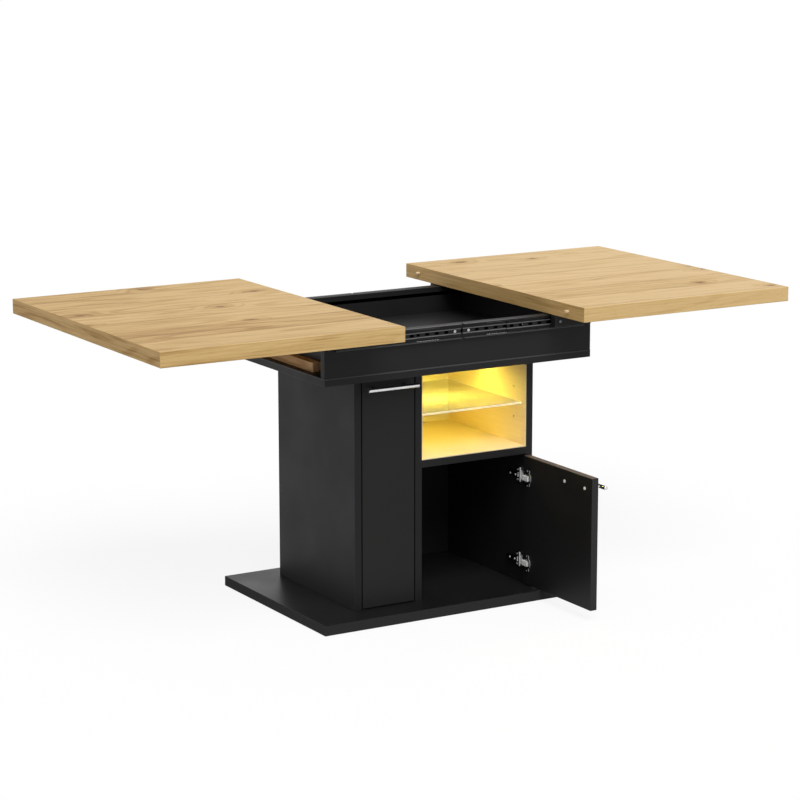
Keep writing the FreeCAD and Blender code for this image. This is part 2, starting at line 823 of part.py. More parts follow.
def door_parts():
    """Both doors with their handles and hinges; the low door is turned to its open pose."""
    arm = hinge_arm()
    cup = hinge_cup()
    pin = hinge_pin()
    low_x0 = divider_right + door_gap
    low_x1 = bay_right - door_gap
    low_handle_x = low_x0 + handle_edge_margin + handle_length / 2
    low_handle_z = low_door_top - handle_drop
    low = {"low_door": door_board(low_x0, low_x1, low_door_bottom, low_door_top, low_axis_x, 1,
                                  low_hinge_levels, low_handle_x, low_handle_z),
           "low_handle": handle(low_handle_x, low_handle_z),
           "low_handle_screws": handle_screws(low_handle_x, low_handle_z),
           "low_hinge_cups": group([placed(cup, low_axis_x, level) for level in low_hinge_levels])}
    for shape in low.values():
        shape.rotate(V(low_axis_x, axis_y, 0), V(0, 0, 1), door_open_angle)
    tall_x0 = bay_left + door_gap
    tall_x1 = divider_left - door_gap
    tall_handle_x = (tall_x0 + tall_x1) / 2
    tall_handle_z = tall_door_top - handle_drop
    parts = dict(low)
    parts["tall_door"] = door_board(tall_x0, tall_x1, low_door_bottom, tall_door_top, tall_axis_x, -1,
                                    tall_hinge_levels, tall_handle_x, tall_handle_z)
    parts["tall_handle"] = handle(tall_handle_x, tall_handle_z)
    parts["tall_handle_screws"] = handle_screws(tall_handle_x, tall_handle_z)
    parts["tall_hinge_cups"] = group([placed(flip_x(cup), tall_axis_x, level) for level in tall_hinge_levels])
    arms = [placed(arm, low_axis_x, level) for level in low_hinge_levels]
    arms += [placed(flip_x(arm), tall_axis_x, level) for level in tall_hinge_levels]
    pins = [placed(pin, low_axis_x, level) for level in low_hinge_levels]
    pins += [placed(pin, tall_axis_x, level) for level in tall_hinge_levels]
    parts["hinge_arms"] = group(arms)
    parts["hinge_pins"] = group(pins)
    return parts


def main():
    """Build every piece and write one file for each."""
    os.makedirs("parts", exist_ok=True)
    parts = {}
    for build in (base_parts, carcass_parts, niche_parts, shelf_parts, light_parts, apron_parts,
                  slide_parts, top_parts, door_parts):
        parts.update(build())
    for name, shape in parts.items():
        shape.exportStep("parts/" + name + ".step")


main()
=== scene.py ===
import logging
import math
from dataclasses import dataclass, field
from enum import Enum
from functools import cache

import bmesh
import bpy
from mathutils import Euler, Matrix, Vector

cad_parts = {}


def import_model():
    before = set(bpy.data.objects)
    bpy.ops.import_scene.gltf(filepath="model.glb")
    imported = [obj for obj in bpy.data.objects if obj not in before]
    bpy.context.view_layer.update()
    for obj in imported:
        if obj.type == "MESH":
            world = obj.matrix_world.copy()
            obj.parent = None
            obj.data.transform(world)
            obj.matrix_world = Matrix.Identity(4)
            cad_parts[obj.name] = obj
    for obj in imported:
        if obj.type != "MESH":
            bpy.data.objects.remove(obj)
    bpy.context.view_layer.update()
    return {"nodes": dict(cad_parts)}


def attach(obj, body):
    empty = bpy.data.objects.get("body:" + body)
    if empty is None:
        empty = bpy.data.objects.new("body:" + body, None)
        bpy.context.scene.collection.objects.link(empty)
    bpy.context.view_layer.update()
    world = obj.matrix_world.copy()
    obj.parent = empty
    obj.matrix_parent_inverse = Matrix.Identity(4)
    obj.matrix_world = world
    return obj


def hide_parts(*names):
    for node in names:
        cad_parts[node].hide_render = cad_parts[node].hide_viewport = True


# Looks of an extending pedestal table: oak-finish halves, black boards, a lit niche and steel fittings.
# Sizes are written in millimetres and turned into metres where they are used.
# A face whose direction lies along an axis by FACING or more counts as facing that way.
# Most of a noise lies within NOISE. It is given by its bumps in a metre and by its fineness, which is how
# many finer layers it has and how strong they are.
# A relief is how much of a height field shows and how high it is.
# A Range is the two ends that a number runs between, and the two that it is moved to.

LOG = logging.getLogger("extending_table")
MM = 0.001
HALF = 0.5
BOTH = (-1.0, 1.0)
FACING = 0.8
NOISE = (0.3, 0.7)
BALL_SEGMENTS = 10
BALL_RINGS = 6
Colour = tuple[float, float, float]
Place = tuple[float, float, float]
Pair = tuple[float, float]
Range = tuple[float, float, float, float]
Values = dict[int | str, object]
Socket = bpy.types.NodeSocket
Node = bpy.types.Node
Material = bpy.types.Material
Mesh = bpy.types.Mesh
Piece = bpy.types.Object
WHITE: Colour = (1.0, 1.0, 1.0)
BLACK: Colour = (0.0, 0.0, 0.0)
LINE_STOPS: Pair = (0.3, 0.65)
EDGE_FADE: Range = (0.75, 0.99, 1.0, 0.0)
EDGE_SAMPLES = 4


class Grain(Enum):
    """The axis that a brushed or fibrous surface runs along."""

    ALONG_X = 0
    ALONG_Y = 1
    ALONG_Z = 2


class Facing(Enum):
    """Turns, in degrees about X, Y and Z, that point a screw's head one way."""

    FRONT = (90.0, 0.0, 0.0)
    BACK = (-90.0, 0.0, 0.0)
    LEFT = (0.0, -90.0, 0.0)
    RIGHT = (0.0, 90.0, 0.0)
    DOWN = (180.0, 0.0, 0.0)


class Graph:
    """A node tree, with short calls that add, set and join its nodes."""

    def __init__(self, tree: bpy.types.NodeTree) -> None:
        """Take a node tree and empty it."""
        self.tree = tree
        self.tree.nodes.clear()

    def join(self, value: object, target: Socket) -> None:
        """Give an input what it takes.

        Args:
            value: Another socket, a number, or a colour in its three parts.
            target: The input.
        """
        if isinstance(value, Socket):
            self.tree.links.new(value, target)
        else:
            target.default_value = (*value, 1.0) if target.type == "RGBA" else value

    def add(self, kind: str, values: Values, **settings: object) -> Node:
        """Add a node, set it up and join its inputs.

        Args:
            kind: The node's kind.
            values: What its inputs take, by their names or numbers.
            settings: The node's own settings.

        Returns:
            The node.
        """
        node = self.tree.nodes.new(kind)
        for label, value in settings.items():
            setattr(node, label, value)
        for label, value in values.items():
            self.join(value, node.inputs[label])
        return node

    def make(self, kind: str, values: Values, output: int | str = 0, **settings: object) -> Socket:
        """Add a node and return one of its outputs."""
        return self.add(kind, values, **settings).outputs[output]

    def math(self, operation: str, *values: object) -> Socket:
        """One step of arithmetic on numbers and sockets."""
        return self.make("ShaderNodeMath", dict(enumerate(values)), operation=operation)

    def times(self, first: object, second: object) -> Socket:
        """The product of two numbers or sockets."""
        return self.math("MULTIPLY", first, second)

    def point(self, *parts: object) -> Socket:
        """A vector from its X, Y and Z."""
        return self.make("ShaderNodeCombineXYZ", dict(enumerate(parts)))

    def mix(self, factor: Socket, first: Socket, second: Socket) -> Socket:
        """A shader between two others, the first at 0 and the second at 1."""
        return self.make("ShaderNodeMixShader", {0: factor, 1: first, 2: second})


class Shading(Graph):
    """A material's nodes around one surface shader."""

    def __init__(self, name: str) -> None:
        """Start a material.

        Args:
            name: The material's name.
        """
        self.material = bpy.data.materials.new(name)
        self.material.use_nodes = True
        super().__init__(self.material.node_tree)
        self.shader = self.add("ShaderNodeBsdfPrincipled", {})
        self.output = self.add("ShaderNodeOutputMaterial", {"Surface": self.shader.outputs["BSDF"]})

    def coat(self, values: Values) -> None:
        """Give the surface shader's inputs what they take, by their names."""
        for label, value in values.items():
            self.join(value, self.shader.inputs[label])

    def blend(self, factor: object, first: object, second: object) -> Socket:
        """A number between two others, the first at 0 and the second at 1."""
        return self.make("ShaderNodeMix", {0: factor, 2: first, 3: second})

    def tint(self, factor: Socket, first: Socket | Colour, second: Colour, way: str = "MIX") -> Socket:
        """A colour between two others, the first at 0 and the second, laid on it in some way, at 1."""
        values = {0: factor, 6: first, 7: second}
        return self.make("ShaderNodeMix", values, 2, data_type="RGBA", blend_type=way)

    def spread(self, value: Socket, low: float, high: float, to_low: float, to_high: float) -> Socket:
        """A number moved smoothly from one range to another, both given by their ends."""
        values = {"Value": value, "From Min": low, "From Max": high, "To Min": to_low, "To Max": to_high}
        return self.make("ShaderNodeMapRange", values, "Result", interpolation_type="SMOOTHSTEP")

    def ramp(self, factor: Socket, stops: tuple[float, ...], *colours: Colour) -> Socket:
        """A colour picked along a row of stops.

        Args:
            factor: The place along the row.
            stops: The stops' places, in order.
            colours: Their colours.

        Returns:
            The colour's socket.
        """
        node = self.add("ShaderNodeValToRGB", {"Fac": factor})
        elements = node.color_ramp.elements
        while len(elements) < len(stops):
            elements.new(HALF)
        for element, place, colour in zip(elements, stops, colours):
            element.position = place
            element.color = (*colour, 1.0)
        return node.outputs["Color"]

    def parts(self, label: str) -> list[Socket]:
        """X, Y and Z of one of the piece's own coordinates, by its name."""
        where = self.make("ShaderNodeTexCoord", {}, label)
        return list(self.add("ShaderNodeSeparateXYZ", {0: where}).outputs)

    def place(self) -> list[Socket]:
        """X, Y and Z of a point on the piece, in metres."""
        return self.parts("Object")

    def facing(self) -> list[Socket]:
        """X, Y and Z of the surface's outward direction."""
        return self.parts("Normal")

    def size(self, value: Socket) -> Socket:
        """A number without its sign."""
        return self.math("ABSOLUTE", value)

    def band(self, value: Socket, middle: float, half: float) -> Socket:
        """1 where a length in metres is within a half width of a middle, and 0 elsewhere."""
        away = self.size(self.math("SUBTRACT", value, MM * middle))
        return self.math("LESS_THAN", away, MM * half)

    def noise(self, where: Socket, scale: float, detail: float, rough: float = 0.5) -> Socket:
        """Soft noise from 0 to 1, by its bumps in a unit, its finer layers and their strength."""
        values = {"Vector": where, "Scale": scale, "Detail": detail, "Roughness": rough}
        return self.make("ShaderNodeTexNoise", values, "Fac")

    def stretched(self, values: tuple[object, ...], scales: Place) -> Socket:
        """A point whose parts are each multiplied by a number."""
        return self.point(*(self.times(value, scale) for value, scale in zip(values, scales)))

    def cloud(self, scale: float, detail: float, rough: float = 0.5) -> Socket:
        """Noise that is alike in all directions."""
        return self.noise(self.point(*self.place()), scale, detail, rough)

    def lines(self, scales: Place, detail: float, rough: float = 0.5, grain: Grain = Grain.ALONG_X) -> Socket:
        """Noise drawn out along the grain; scales are bumps in a metre along it and along the other axes."""
        axes = self.place()
        return self.noise(self.stretched((axes.pop(grain.value), *axes), scales), 1.0, detail, rough)

    def lined(self, line: Socket, colour: Colour, depth: float) -> Socket:
        """A colour on fine lines, with a share of it left between them."""
        deep = tuple(depth * part for part in colour)
        return self.ramp(line, LINE_STOPS, deep, colour)

    def edges(self, width: float) -> Socket:
        """A factor that rises to 1 along the piece's edges.

        Args:
            width: How far from an edge it reaches.

        Returns:
            The factor's socket.
        """
        rounded = self.make("ShaderNodeBevel", {"Radius": MM * width}, samples=EDGE_SAMPLES)
        sharp = self.make("ShaderNodeNewGeometry", {}, "Normal")
        alike = self.make("ShaderNodeVectorMath", {0: rounded, 1: sharp}, "Value", operation="DOT_PRODUCT")
        return self.spread(alike, *EDGE_FADE)

    def bump(self, height: Socket, strength: float, distance: float) -> None:
        """Raise the surface by a field of heights, of a strength and a full height."""
        values = {"Strength": strength, "Distance": MM * distance, "Height": height}
        self.coat({"Normal": self.make("ShaderNodeBump", values, "Normal")})

    def follow(self, noise: Socket, roughness: Pair, relief: Pair) -> None:
        """Let the roughness and the relief follow one noise."""
        self.coat({"Roughness": self.spread(noise, *NOISE, *roughness)})
        self.bump(noise, *relief)

    def let_lamps_through(self, colour: Colour) -> None:
        """Let lamps shine straight through, tinted, while rays that see the surface still see it.

        Args:
            colour: The tint that the light takes.
        """
        lamps = self.make("ShaderNodeLightPath", {}, "Is Shadow Ray")
        clear = self.make("ShaderNodeBsdfTransparent", {"Color": colour})
        self.join(self.mix(lamps, self.shader.outputs["BSDF"], clear), self.output.inputs["Surface"])


class Finish:
    """A surface finish that makes one material and keeps it."""

    name: str

    def paint(self, skin: Shading) -> None:
        """Lay the finish on a material's shader; each kind of finish has its own way."""
        raise NotImplementedError

    @cache
    def material(self) -> Material:
        """The finish's material, made the first time it is asked for.

        Returns:
            The material.
        """
        skin = Shading(self.name)
        self.paint(skin)
        return skin.material


Looks = tuple[tuple[Finish, str], ...]


@dataclass(frozen=True)
class Streaks:
    """Noise drawn out along wood: bumps in a metre, which noise it is, its fineness and its share."""

    along: float
    across: float
    depth: float = 0.0
    by_lot: float = 0.0
    detail: float = 3.0
    rough: float = 0.6
    share: float = 1.0


@dataclass(frozen=True)
class OakFinish(Finish):
    """Oak laminate laid in strips, with rings, streaks, fibres, pores and knots."""

    name: str = "oak_laminate"
    strip: float = 116.0
    lot_shift: float = 23.0
    lot_share: float = 0.2
    # right_share: the oak is painted lighter the further right it lies, as painted light.
    right_share: float = 0.2
    base_tone: float = 0.555
    stops: tuple[float, float, float] = (0.16, 0.48, 0.82)
    light: Colour = (0.70, 0.485, 0.222)
    middle: Colour = (0.58, 0.382, 0.152)
    dark: Colour = (0.36, 0.205, 0.068)
    knot: Colour = (0.12, 0.052, 0.018)
    end_tint: Colour = (1.0, 0.96, 0.9)
    roughness: Range = (0.2, 0.8, 0.58, 0.46)
    gloss: float = 0.2
    rings: float = 58.0
    ring_bend: float = 0.22
    ring_tone: Range = (0.1, 1.0, 0.04, -0.12)
    knot_cells: Place = (4.6, 8.6, 0.0)
    knot_scatter: float = 0.9
    knot_above: float = 0.66
    swirl: Range = (0.0, 0.42, 1.0, 0.0)
    heart: Range = (0.01, 0.09, 1.0, 0.0)
    heart_share: float = 0.9
    split: Range = (0.05, 0.15, 0.0, 1.0)
    crack: Range = (0.06, 0.4, 1.0, 0.0)
    crack_share: float = 0.7
    trail: Range = (0.02, 0.3, 1.0, 0.0)
    trail_share: float = -0.26
    pore: Range = (0.14, 0.24, 0.0, 0.42)
    pore_depth: float = 1.4
    seam: Range = (0.462, 0.496, 0.0, 1.0)
    seam_gaps: Range = (-0.12, 0.14, 0.3, 0.95)
    seam_depth: float = 0.8
    relief: Pair = (0.25, 0.25)
    broad: Streaks = Streaks(2.4, 75.0, by_lot=1.0, share=0.48)
    fine: Streaks = Streaks(4.0, 210.0, 7.0, detail=2.0, rough=0.55, share=0.75)
    fibres: Streaks = Streaks(14.0, 520.0, share=0.75)
    clouds: Streaks = Streaks(1.7, 4.0, 5.0, detail=2.0, rough=0.5, share=0.3)
    growth: Streaks = Streaks(1.35, 10.5, by_lot=17.0, detail=1.5, rough=0.45)
    fray: Streaks = Streaks(60.0, 190.0, detail=4.0, rough=0.7, share=0.34)
    splits: Streaks = Streaks(8.0, 330.0, 9.0, rough=0.65)
    trails: Streaks = Streaks(9.0, 150.0, 3.0, share=0.5)
    pores: Streaks = Streaks(42.0, 1150.0, 2.0, detail=1.0, rough=0.5)
    breaks: Streaks = Streaks(3.0, 30.0, 4.0, detail=2.0)

    def paint(self, skin: Shading) -> None:
        """Lay the oak on.

        Args:
            skin: The material's nodes.
        """
        x, y, z = skin.place()
        end = skin.math("GREATER_THAN", skin.size(skin.facing()[0]), HALF)
        face = skin.math("SUBTRACT", 1.0, end)
        along = skin.blend(end, x, y)
        across = skin.math("ADD", skin.blend(end, y, x), z)
        strips = skin.math("DIVIDE", across, MM * self.strip)
        lot = skin.math("FLOOR", strips)
        chance = skin.make("ShaderNodeTexWhiteNoise", {"W": lot}, "Value", noise_dimensions="1D")
        shift = skin.math("MULTIPLY_ADD", chance, self.lot_shift, along)

        def layer(streaks: Streaks) -> Socket:
            """One kind of streaks, about zero.

            Args:
                streaks: The kind.

            Returns:
                The noise's socket.
            """
            depth = skin.math("MULTIPLY_ADD", chance, streaks.by_lot, streaks.depth)
            where = skin.stretched((shift, across, depth), (streaks.along, streaks.across, 1.0))
            return skin.math("SUBTRACT", skin.noise(where, 1.0, streaks.detail, streaks.rough), HALF)

        cells = {"Vector": skin.stretched((shift, across, 0.0), self.knot_cells), "Scale": 1.0,
                 "Randomness": self.knot_scatter}
        spots = skin.add("ShaderNodeTexVoronoi", cells, voronoi_dimensions="2D")
        tone = skin.make("ShaderNodeSeparateColor", {0: spots.outputs["Color"]})
        there = skin.math("GREATER_THAN", skin.math("SUBTRACT", tone, end), self.knot_above)
        distance = spots.outputs["Distance"]

        def knotted(value: Socket, fade: Range) -> Socket:
            """A factor that fades with the distance from a knot."""
            return skin.times(skin.spread(value, *fade), there)

        frayed = skin.math("MULTIPLY_ADD", layer(self.fray), self.fray.share, distance)
        trailing = skin.math("MULTIPLY_ADD", layer(self.trails), self.trails.share, distance)
        split = skin.spread(layer(self.splits), *self.split)
        crack = skin.times(split, knotted(distance, self.crack))
        level = skin.math("MULTIPLY_ADD", knotted(distance, self.swirl), self.ring_bend, layer(self.growth))
        ring = skin.spread(skin.math("SINE", skin.times(level, self.rings)), *self.ring_tone)
        fibre = layer(self.fibres)
        shade = skin.math("ADD", ring, self.base_tone)
        # The last part is that painted light, growing to the right on the faces.
        parts = (
            (layer(self.broad), self.broad.share), (layer(self.fine), self.fine.share),
            (fibre, self.fibres.share), (layer(self.clouds), self.clouds.share),
            (skin.math("SUBTRACT", chance, HALF), self.lot_share),
            (knotted(trailing, self.trail), self.trail_share),
            (skin.times(x, face), self.right_share))
        for part, share in parts:
            shade = skin.math("MULTIPLY_ADD", part, share, shade)
        colour = skin.ramp(shade, self.stops, self.dark, self.middle, self.light)
        colour = skin.tint(end, colour, self.end_tint, "MULTIPLY")

        pore = skin.spread(layer(self.pores), *self.pore)
        beside = skin.size(skin.math("SUBTRACT", skin.math("FRACT", strips), HALF))
        gaps = skin.spread(layer(self.breaks), *self.seam_gaps)
        seam = skin.times(skin.times(skin.spread(beside, *self.seam), gaps), face)
        stains = (
            (pore, self.dark), (seam, self.dark), (skin.times(crack, self.crack_share), self.dark),
            (skin.times(knotted(frayed, self.heart), self.heart_share), self.knot))
        for factor, stain in stains:
            colour = skin.tint(factor, colour, stain)
        skin.coat({"Base Color": colour, "Roughness": skin.spread(shade, *self.roughness),
                   "Specular IOR Level": self.gloss})
        hollow = skin.math("MULTIPLY_ADD", pore, self.pore_depth, skin.times(seam, self.seam_depth))
        skin.bump(skin.math("SUBTRACT", fibre, hollow), *self.relief)


@dataclass(frozen=True)
class BoardFinish(Finish):
    """Black melamine on board: a dry satin skin, a fine pressed texture and a painted highlight along its
    edges.
    """

    name: str = "black_melamine"
    colour: Colour = (0.0088, 0.0088, 0.009)
    wear_and_highlight: Colour = (0.0128, 0.0128, 0.013)
    # edge: the colour of the painted highlight along the board's edges.
    edge: Colour = (0.034, 0.034, 0.035)
    edge_highlight_width: float = 2.2
    roughness: float = 0.5
    rough_play: float = 0.05
    side_roughness: float | None = None
    # side: a lighter colour painted on the board's uprights than on its top, as painted light.
    side: Colour = (0.0195, 0.0194, 0.019)
    gloss: float = 0.17
    top_edge: Colour | None = None
    front_edge: Colour | None = None
    # A painted shade band: black and mirror-dark at the slides' level, standing in for the shade in their
    # slots.
    slot_shade_level: float | None = None
    slot_shade_half: float = 4.2
    highlight_line_level: float | None = None
    highlight_line_half: float = 1.5
    # pale: the colour of a painted highlight line across the board's face.
    pale: Colour = (0.052, 0.052, 0.053)
    clouds: Place = (7.0, 3.0, 0.55)
    cloud_span: Pair = (0.25, 0.75)
    specks: Place = (1300.0, 2.0, 0.6)
    stops: Pair = (0.35, 0.7)
    relief: Pair = (0.1, 0.1)

    def paint(self, skin: Shading) -> None:
        """Lay the melamine on, with a painted edge highlight and the edge colours, painted light and painted
        shade that the board has.

        Args:
            skin: The material's nodes.
        """
        cloud = skin.cloud(*self.clouds)
        speck = skin.cloud(*self.specks)
        tone = skin.math("MULTIPLY_ADD", speck, HALF, skin.times(cloud, HALF))
        colour = skin.ramp(tone, self.stops, self.colour, self.wear_and_highlight)
        play = (self.roughness - self.rough_play, self.roughness + self.rough_play)
        rough = skin.spread(cloud, *self.cloud_span, *play)
        # Painted light: uprights that get their own roughness also get the lighter side colour.
        if self.side_roughness:
            upright = skin.math("LESS_THAN", skin.size(skin.facing()[2]), HALF)
            colour = skin.tint(upright, colour, self.side)
            rough = skin.blend(upright, rough, self.side_roughness)
        # Painted highlight: the edges are paled as if their rounding caught the light.
        colour = skin.tint(skin.edges(self.edge_highlight_width), colour, self.edge)
        if self.top_edge:
            colour = skin.tint(skin.math("GREATER_THAN", skin.facing()[2], FACING), colour, self.top_edge)
        if self.front_edge:
            colour = skin.tint(skin.math("LESS_THAN", skin.facing()[1], -FACING), colour, self.front_edge)
        # Painted highlight: a thin pale line along the seam, standing in for light caught by the rounded
        # edge.
        if self.highlight_line_level:
            colour = skin.tint(skin.band(skin.place()[2], self.highlight_line_level, self.highlight_line_half), colour, self.pale)
        # Painted shade: a black, mirror-dark band behind the slides' slots.
        if self.slot_shade_level:
            dark = skin.band(skin.place()[2], self.slot_shade_level, self.slot_shade_half)
            colour = skin.tint(dark, colour, BLACK)
            skin.coat({"Metallic": dark})
        skin.coat({"Base Color": colour, "Roughness": rough, "Specular IOR Level": self.gloss})
        skin.bump(speck, *self.relief)


@dataclass(frozen=True)
class LiningFinish(Finish):
    """Pale laminate inside the niche, with a faint straight grain."""

    name: str = "pale_lining"
    light: Colour = (0.82, 0.70, 0.46)
    dark: Colour = (0.74, 0.61, 0.375)
    fibres: Place = (9.0, 9.0, 260.0)
    fineness: Pair = (3.0, 0.55)
    clouds: Pair = (6.0, 2.0)
    cloud_share: float = 0.4
    stops: Pair = (0.3, 0.65)
    roughness: Pair = (0.46, 0.54)
    relief: Pair = (0.12, 0.2)
    gloss: float = 0.3

    def paint(self, skin: Shading) -> None:
        """Lay the laminate on.

        Args:
            skin: The material's nodes.
        """
        fibre = skin.lines(self.fibres, *self.fineness)
        cloud = skin.cloud(*self.clouds)
        tone = skin.blend(self.cloud_share, fibre, cloud)
        skin.coat({"Base Color": skin.ramp(tone, self.stops, self.dark, self.light),
                   "Roughness": skin.spread(cloud, *NOISE, *self.roughness),
                   "Specular IOR Level": self.gloss})
        skin.bump(fibre, *self.relief)


@dataclass(frozen=True)
class RawWoodFinish(Finish):
    """Sawn softwood with its rings cut lengthwise."""

    name: str
    grain: Grain
    light: Colour = (0.86, 0.56, 0.30)
    dark: Colour = (0.60, 0.335, 0.15)
    growth: Place = (3.0, 32.0, 32.0)
    growth_fineness: Pair = (1.0, 0.5)
    rings: float = 34.0
    ring_share: float = 0.16
    base_tone: float = 0.25
    fibres: Place = (40.0, 900.0, 900.0)
    fineness: Pair = (2.0, 0.5)
    fibre_share: float = 0.5
    stops: Pair = (0.25, 0.7)
    roughness: Pair = (0.75, 0.62)
    relief: Pair = (0.4, 0.4)
    gloss: float = 0.25

    def paint(self, skin: Shading) -> None:
        """Lay the wood on.

        Args:
            skin: The material's nodes.
        """
        grown = skin.lines(self.growth, *self.growth_fineness, self.grain)
        ring = skin.math("SINE", skin.times(grown, self.rings))
        fibre = skin.lines(self.fibres, *self.fineness, self.grain)
        tone = skin.math("MULTIPLY_ADD", ring, self.ring_share, self.base_tone)
        tone = skin.math("MULTIPLY_ADD", fibre, self.fibre_share, tone)
        skin.coat({"Base Color": skin.ramp(tone, self.stops, self.dark, self.light),
                   "Specular IOR Level": self.gloss})
        skin.follow(fibre, self.roughness, self.relief)


@dataclass(frozen=True)
class MetalFinish(Finish):
    """A metal skin, plated, brushed or painted, with fine lines along one axis."""

    name: str
    colour: Colour
    grain: Grain
    roughness: float
    metallic: float = 1.0
    rough_play: float = 0.06
    smoothest: float = 0.03
    brushing: Place = (40.0, 2600.0, 2600.0)
    fineness: Pair = (2.0, 0.6)
    clouds: Pair = (60.0, 2.0)
    depth: float = 0.82
    relief: Pair = (0.05, 0.05)

    def paint(self, skin: Shading) -> None:
        """Lay the metal on.

        Args:
            skin: The material's nodes.
        """
        line = skin.lines(self.brushing, *self.fineness, self.grain)
        tone = skin.blend(HALF, line, skin.cloud(*self.clouds))
        low = max(self.smoothest, self.roughness - self.rough_play)
        skin.coat({"Base Color": skin.lined(tone, self.colour, self.depth), "Metallic": self.metallic})
        skin.follow(line, (low, self.roughness + self.rough_play), self.relief)


@dataclass(frozen=True)
class SlideFinish(Finish):
    """Black-plated slide steel, with painted highlights on its ribs and lower lip and painted shade behind
    its slots.
    """

    name: str = "slide_black_zinc"
    level: float = 678.0
    rib: float = 5.4
    rib_half: float = 1.1
    lip: float = 14.7
    lip_share: float = 0.3
    covered_slot_shade_half: float = 3.8
    covered_from: float = 122.8
    covered_face: float = 252.2
    face: Colour = (0.012, 0.012, 0.0125)
    # rubbed: the pale colour painted on the ribs and lower lip as a highlight.
    ridge_highlight: Colour = (0.17, 0.17, 0.173)
    metallic: float = 0.25
    gloss: float = 0.2
    brushing: Place = (40.0, 2600.0, 2600.0)
    fineness: Pair = (2.0, 0.6)
    highlight_breakup: Range = (0.3, 0.6, 0.7, 1.0)
    depth: float = 0.75
    roughness: Pair = (0.34, 0.46)
    relief: Pair = (0.04, 0.05)

    def paint(self, skin: Shading) -> None:
        """Lay the plating on, with painted highlights on the ribs and the lower lip and painted shade behind
        the slots.

        Args:
            skin: The material's nodes.
        """
        x, y, z = skin.place()
        rise = skin.math("SUBTRACT", z, MM * self.level)
        # Painted highlight: the ribs and, at a share, the lower lip take a pale colour, broken up by the
        # brushing lines.
        rib = skin.band(skin.size(rise), self.rib, self.rib_half)
        lip = skin.times(skin.math("LESS_THAN", rise, -MM * self.lip), self.lip_share)
        line = skin.lines(self.brushing, *self.fineness)
        wear_and_highlight = skin.times(skin.math("MAXIMUM", rib, lip), skin.spread(line, *self.highlight_breakup))
        # Painted shade: behind the slots, where the middle member covers this one, the band is made black and
        # mirror-dark.
        covered = skin.math("GREATER_THAN", skin.size(x), MM * self.covered_from)
        dark = skin.times(skin.band(z, self.level, self.covered_slot_shade_half), covered)
        dark = skin.times(dark, skin.band(y, 0.0, self.covered_face))
        colour = skin.tint(wear_and_highlight, skin.lined(line, self.face, self.depth), self.ridge_highlight)
        skin.coat({"Base Color": skin.tint(dark, colour, BLACK),
                   "Metallic": skin.blend(dark, self.metallic, 1.0), "Specular IOR Level": self.gloss})
        skin.follow(line, self.roughness, self.relief)


@dataclass(frozen=True)
class HingeFinish(Finish):
    """Plated hinge steel: dull pressed faces, with painted highlights on the links and the sheared front
    edges.
    """

    name: str
    link_levels: tuple[float, ...] = ()
    link_half: float = 5.7
    link_front: float = -206.5
    edges_from: float = 0.0
    edge_share: float = 1.0
    edge_facing: float = -0.6
    face: Colour = (0.2, 0.2, 0.197)
    # bright: the colour of the painted highlight on the links and front edges.
    bright: Colour = (0.92, 0.915, 0.90)
    highlight_metal: float = 0.1
    pressing: Place = (900.0, 900.0, 120.0)
    fineness: Pair = (2.0, 0.6)
    depth: float = 0.75
    roughness: Pair = (0.24, 0.36)
    relief: Pair = (0.05, 0.05)

    def paint(self, skin: Shading) -> None:
        """Lay the plating on, with painted highlights on the links and on the front edges.

        Args:
            skin: The material's nodes.
        """
        x, y, z = skin.place()
        # Painted highlight: faces turned to the front, and the links, take a pale, hardly metallic colour.
        forward = skin.math("LESS_THAN", skin.facing()[1], self.edge_facing)
        outside = skin.math("GREATER_THAN", skin.size(x), MM * self.edges_from)
        bright = skin.times(skin.times(forward, outside), self.edge_share)
        behind = skin.math("GREATER_THAN", y, MM * self.link_front)
        for level in self.link_levels:
            link = skin.times(behind, skin.band(z, level, self.link_half))
            bright = skin.math("MAXIMUM", bright, link)
        line = skin.lines(self.pressing, *self.fineness)
        skin.coat({"Base Color": skin.tint(bright, skin.lined(line, self.face, self.depth), self.bright),
                   "Metallic": skin.blend(bright, 1.0, self.highlight_metal)})
        skin.follow(line, self.roughness, self.relief)


@dataclass(frozen=True)
class GlassFinish(Finish):
    """Clear float glass with ground edges that glow with a painted warm light."""

    name: str = "shelf_glass"
    face: Colour = (0.96, 0.985, 0.97)
    edge: Colour = (0.90, 0.90, 0.80)
    painted_edge_glow: Colour = (1.0, 0.80, 0.42)
    painted_edge_glow_strength: float = 0.3
    edge_facing: float = 0.6
    edge_roughness: float = 0.4
    edge_clear: float = 0.35
    haze: float = 0.2
    through: Colour = (0.6, 0.565, 0.38)
    bending: float = 1.5
    smears: Pair = (35.0, 3.0)
    smear_roughness: Range = (0.4, 0.8, 0.01, 0.05)

    def paint(self, skin: Shading) -> None:
        """Lay the glass on.

        Args:
            skin: The material's nodes.
        """
        edge = skin.math("LESS_THAN", skin.size(skin.facing()[2]), self.edge_facing)
        smear = skin.spread(skin.cloud(*self.smears), *self.smear_roughness)
        # Painted light: the ground edges glow warm, though the glass is no lamp.
        skin.coat({"Base Color": skin.tint(edge, self.face, self.edge),
                   "Roughness": skin.blend(edge, smear, self.edge_roughness),
                   "Transmission Weight": skin.blend(edge, 1.0 - self.haze, self.edge_clear),
                   "Emission Color": self.painted_edge_glow,
                   "Emission Strength": skin.times(edge, self.painted_edge_glow_strength), "IOR": self.bending})
        skin.let_lamps_through(self.through)


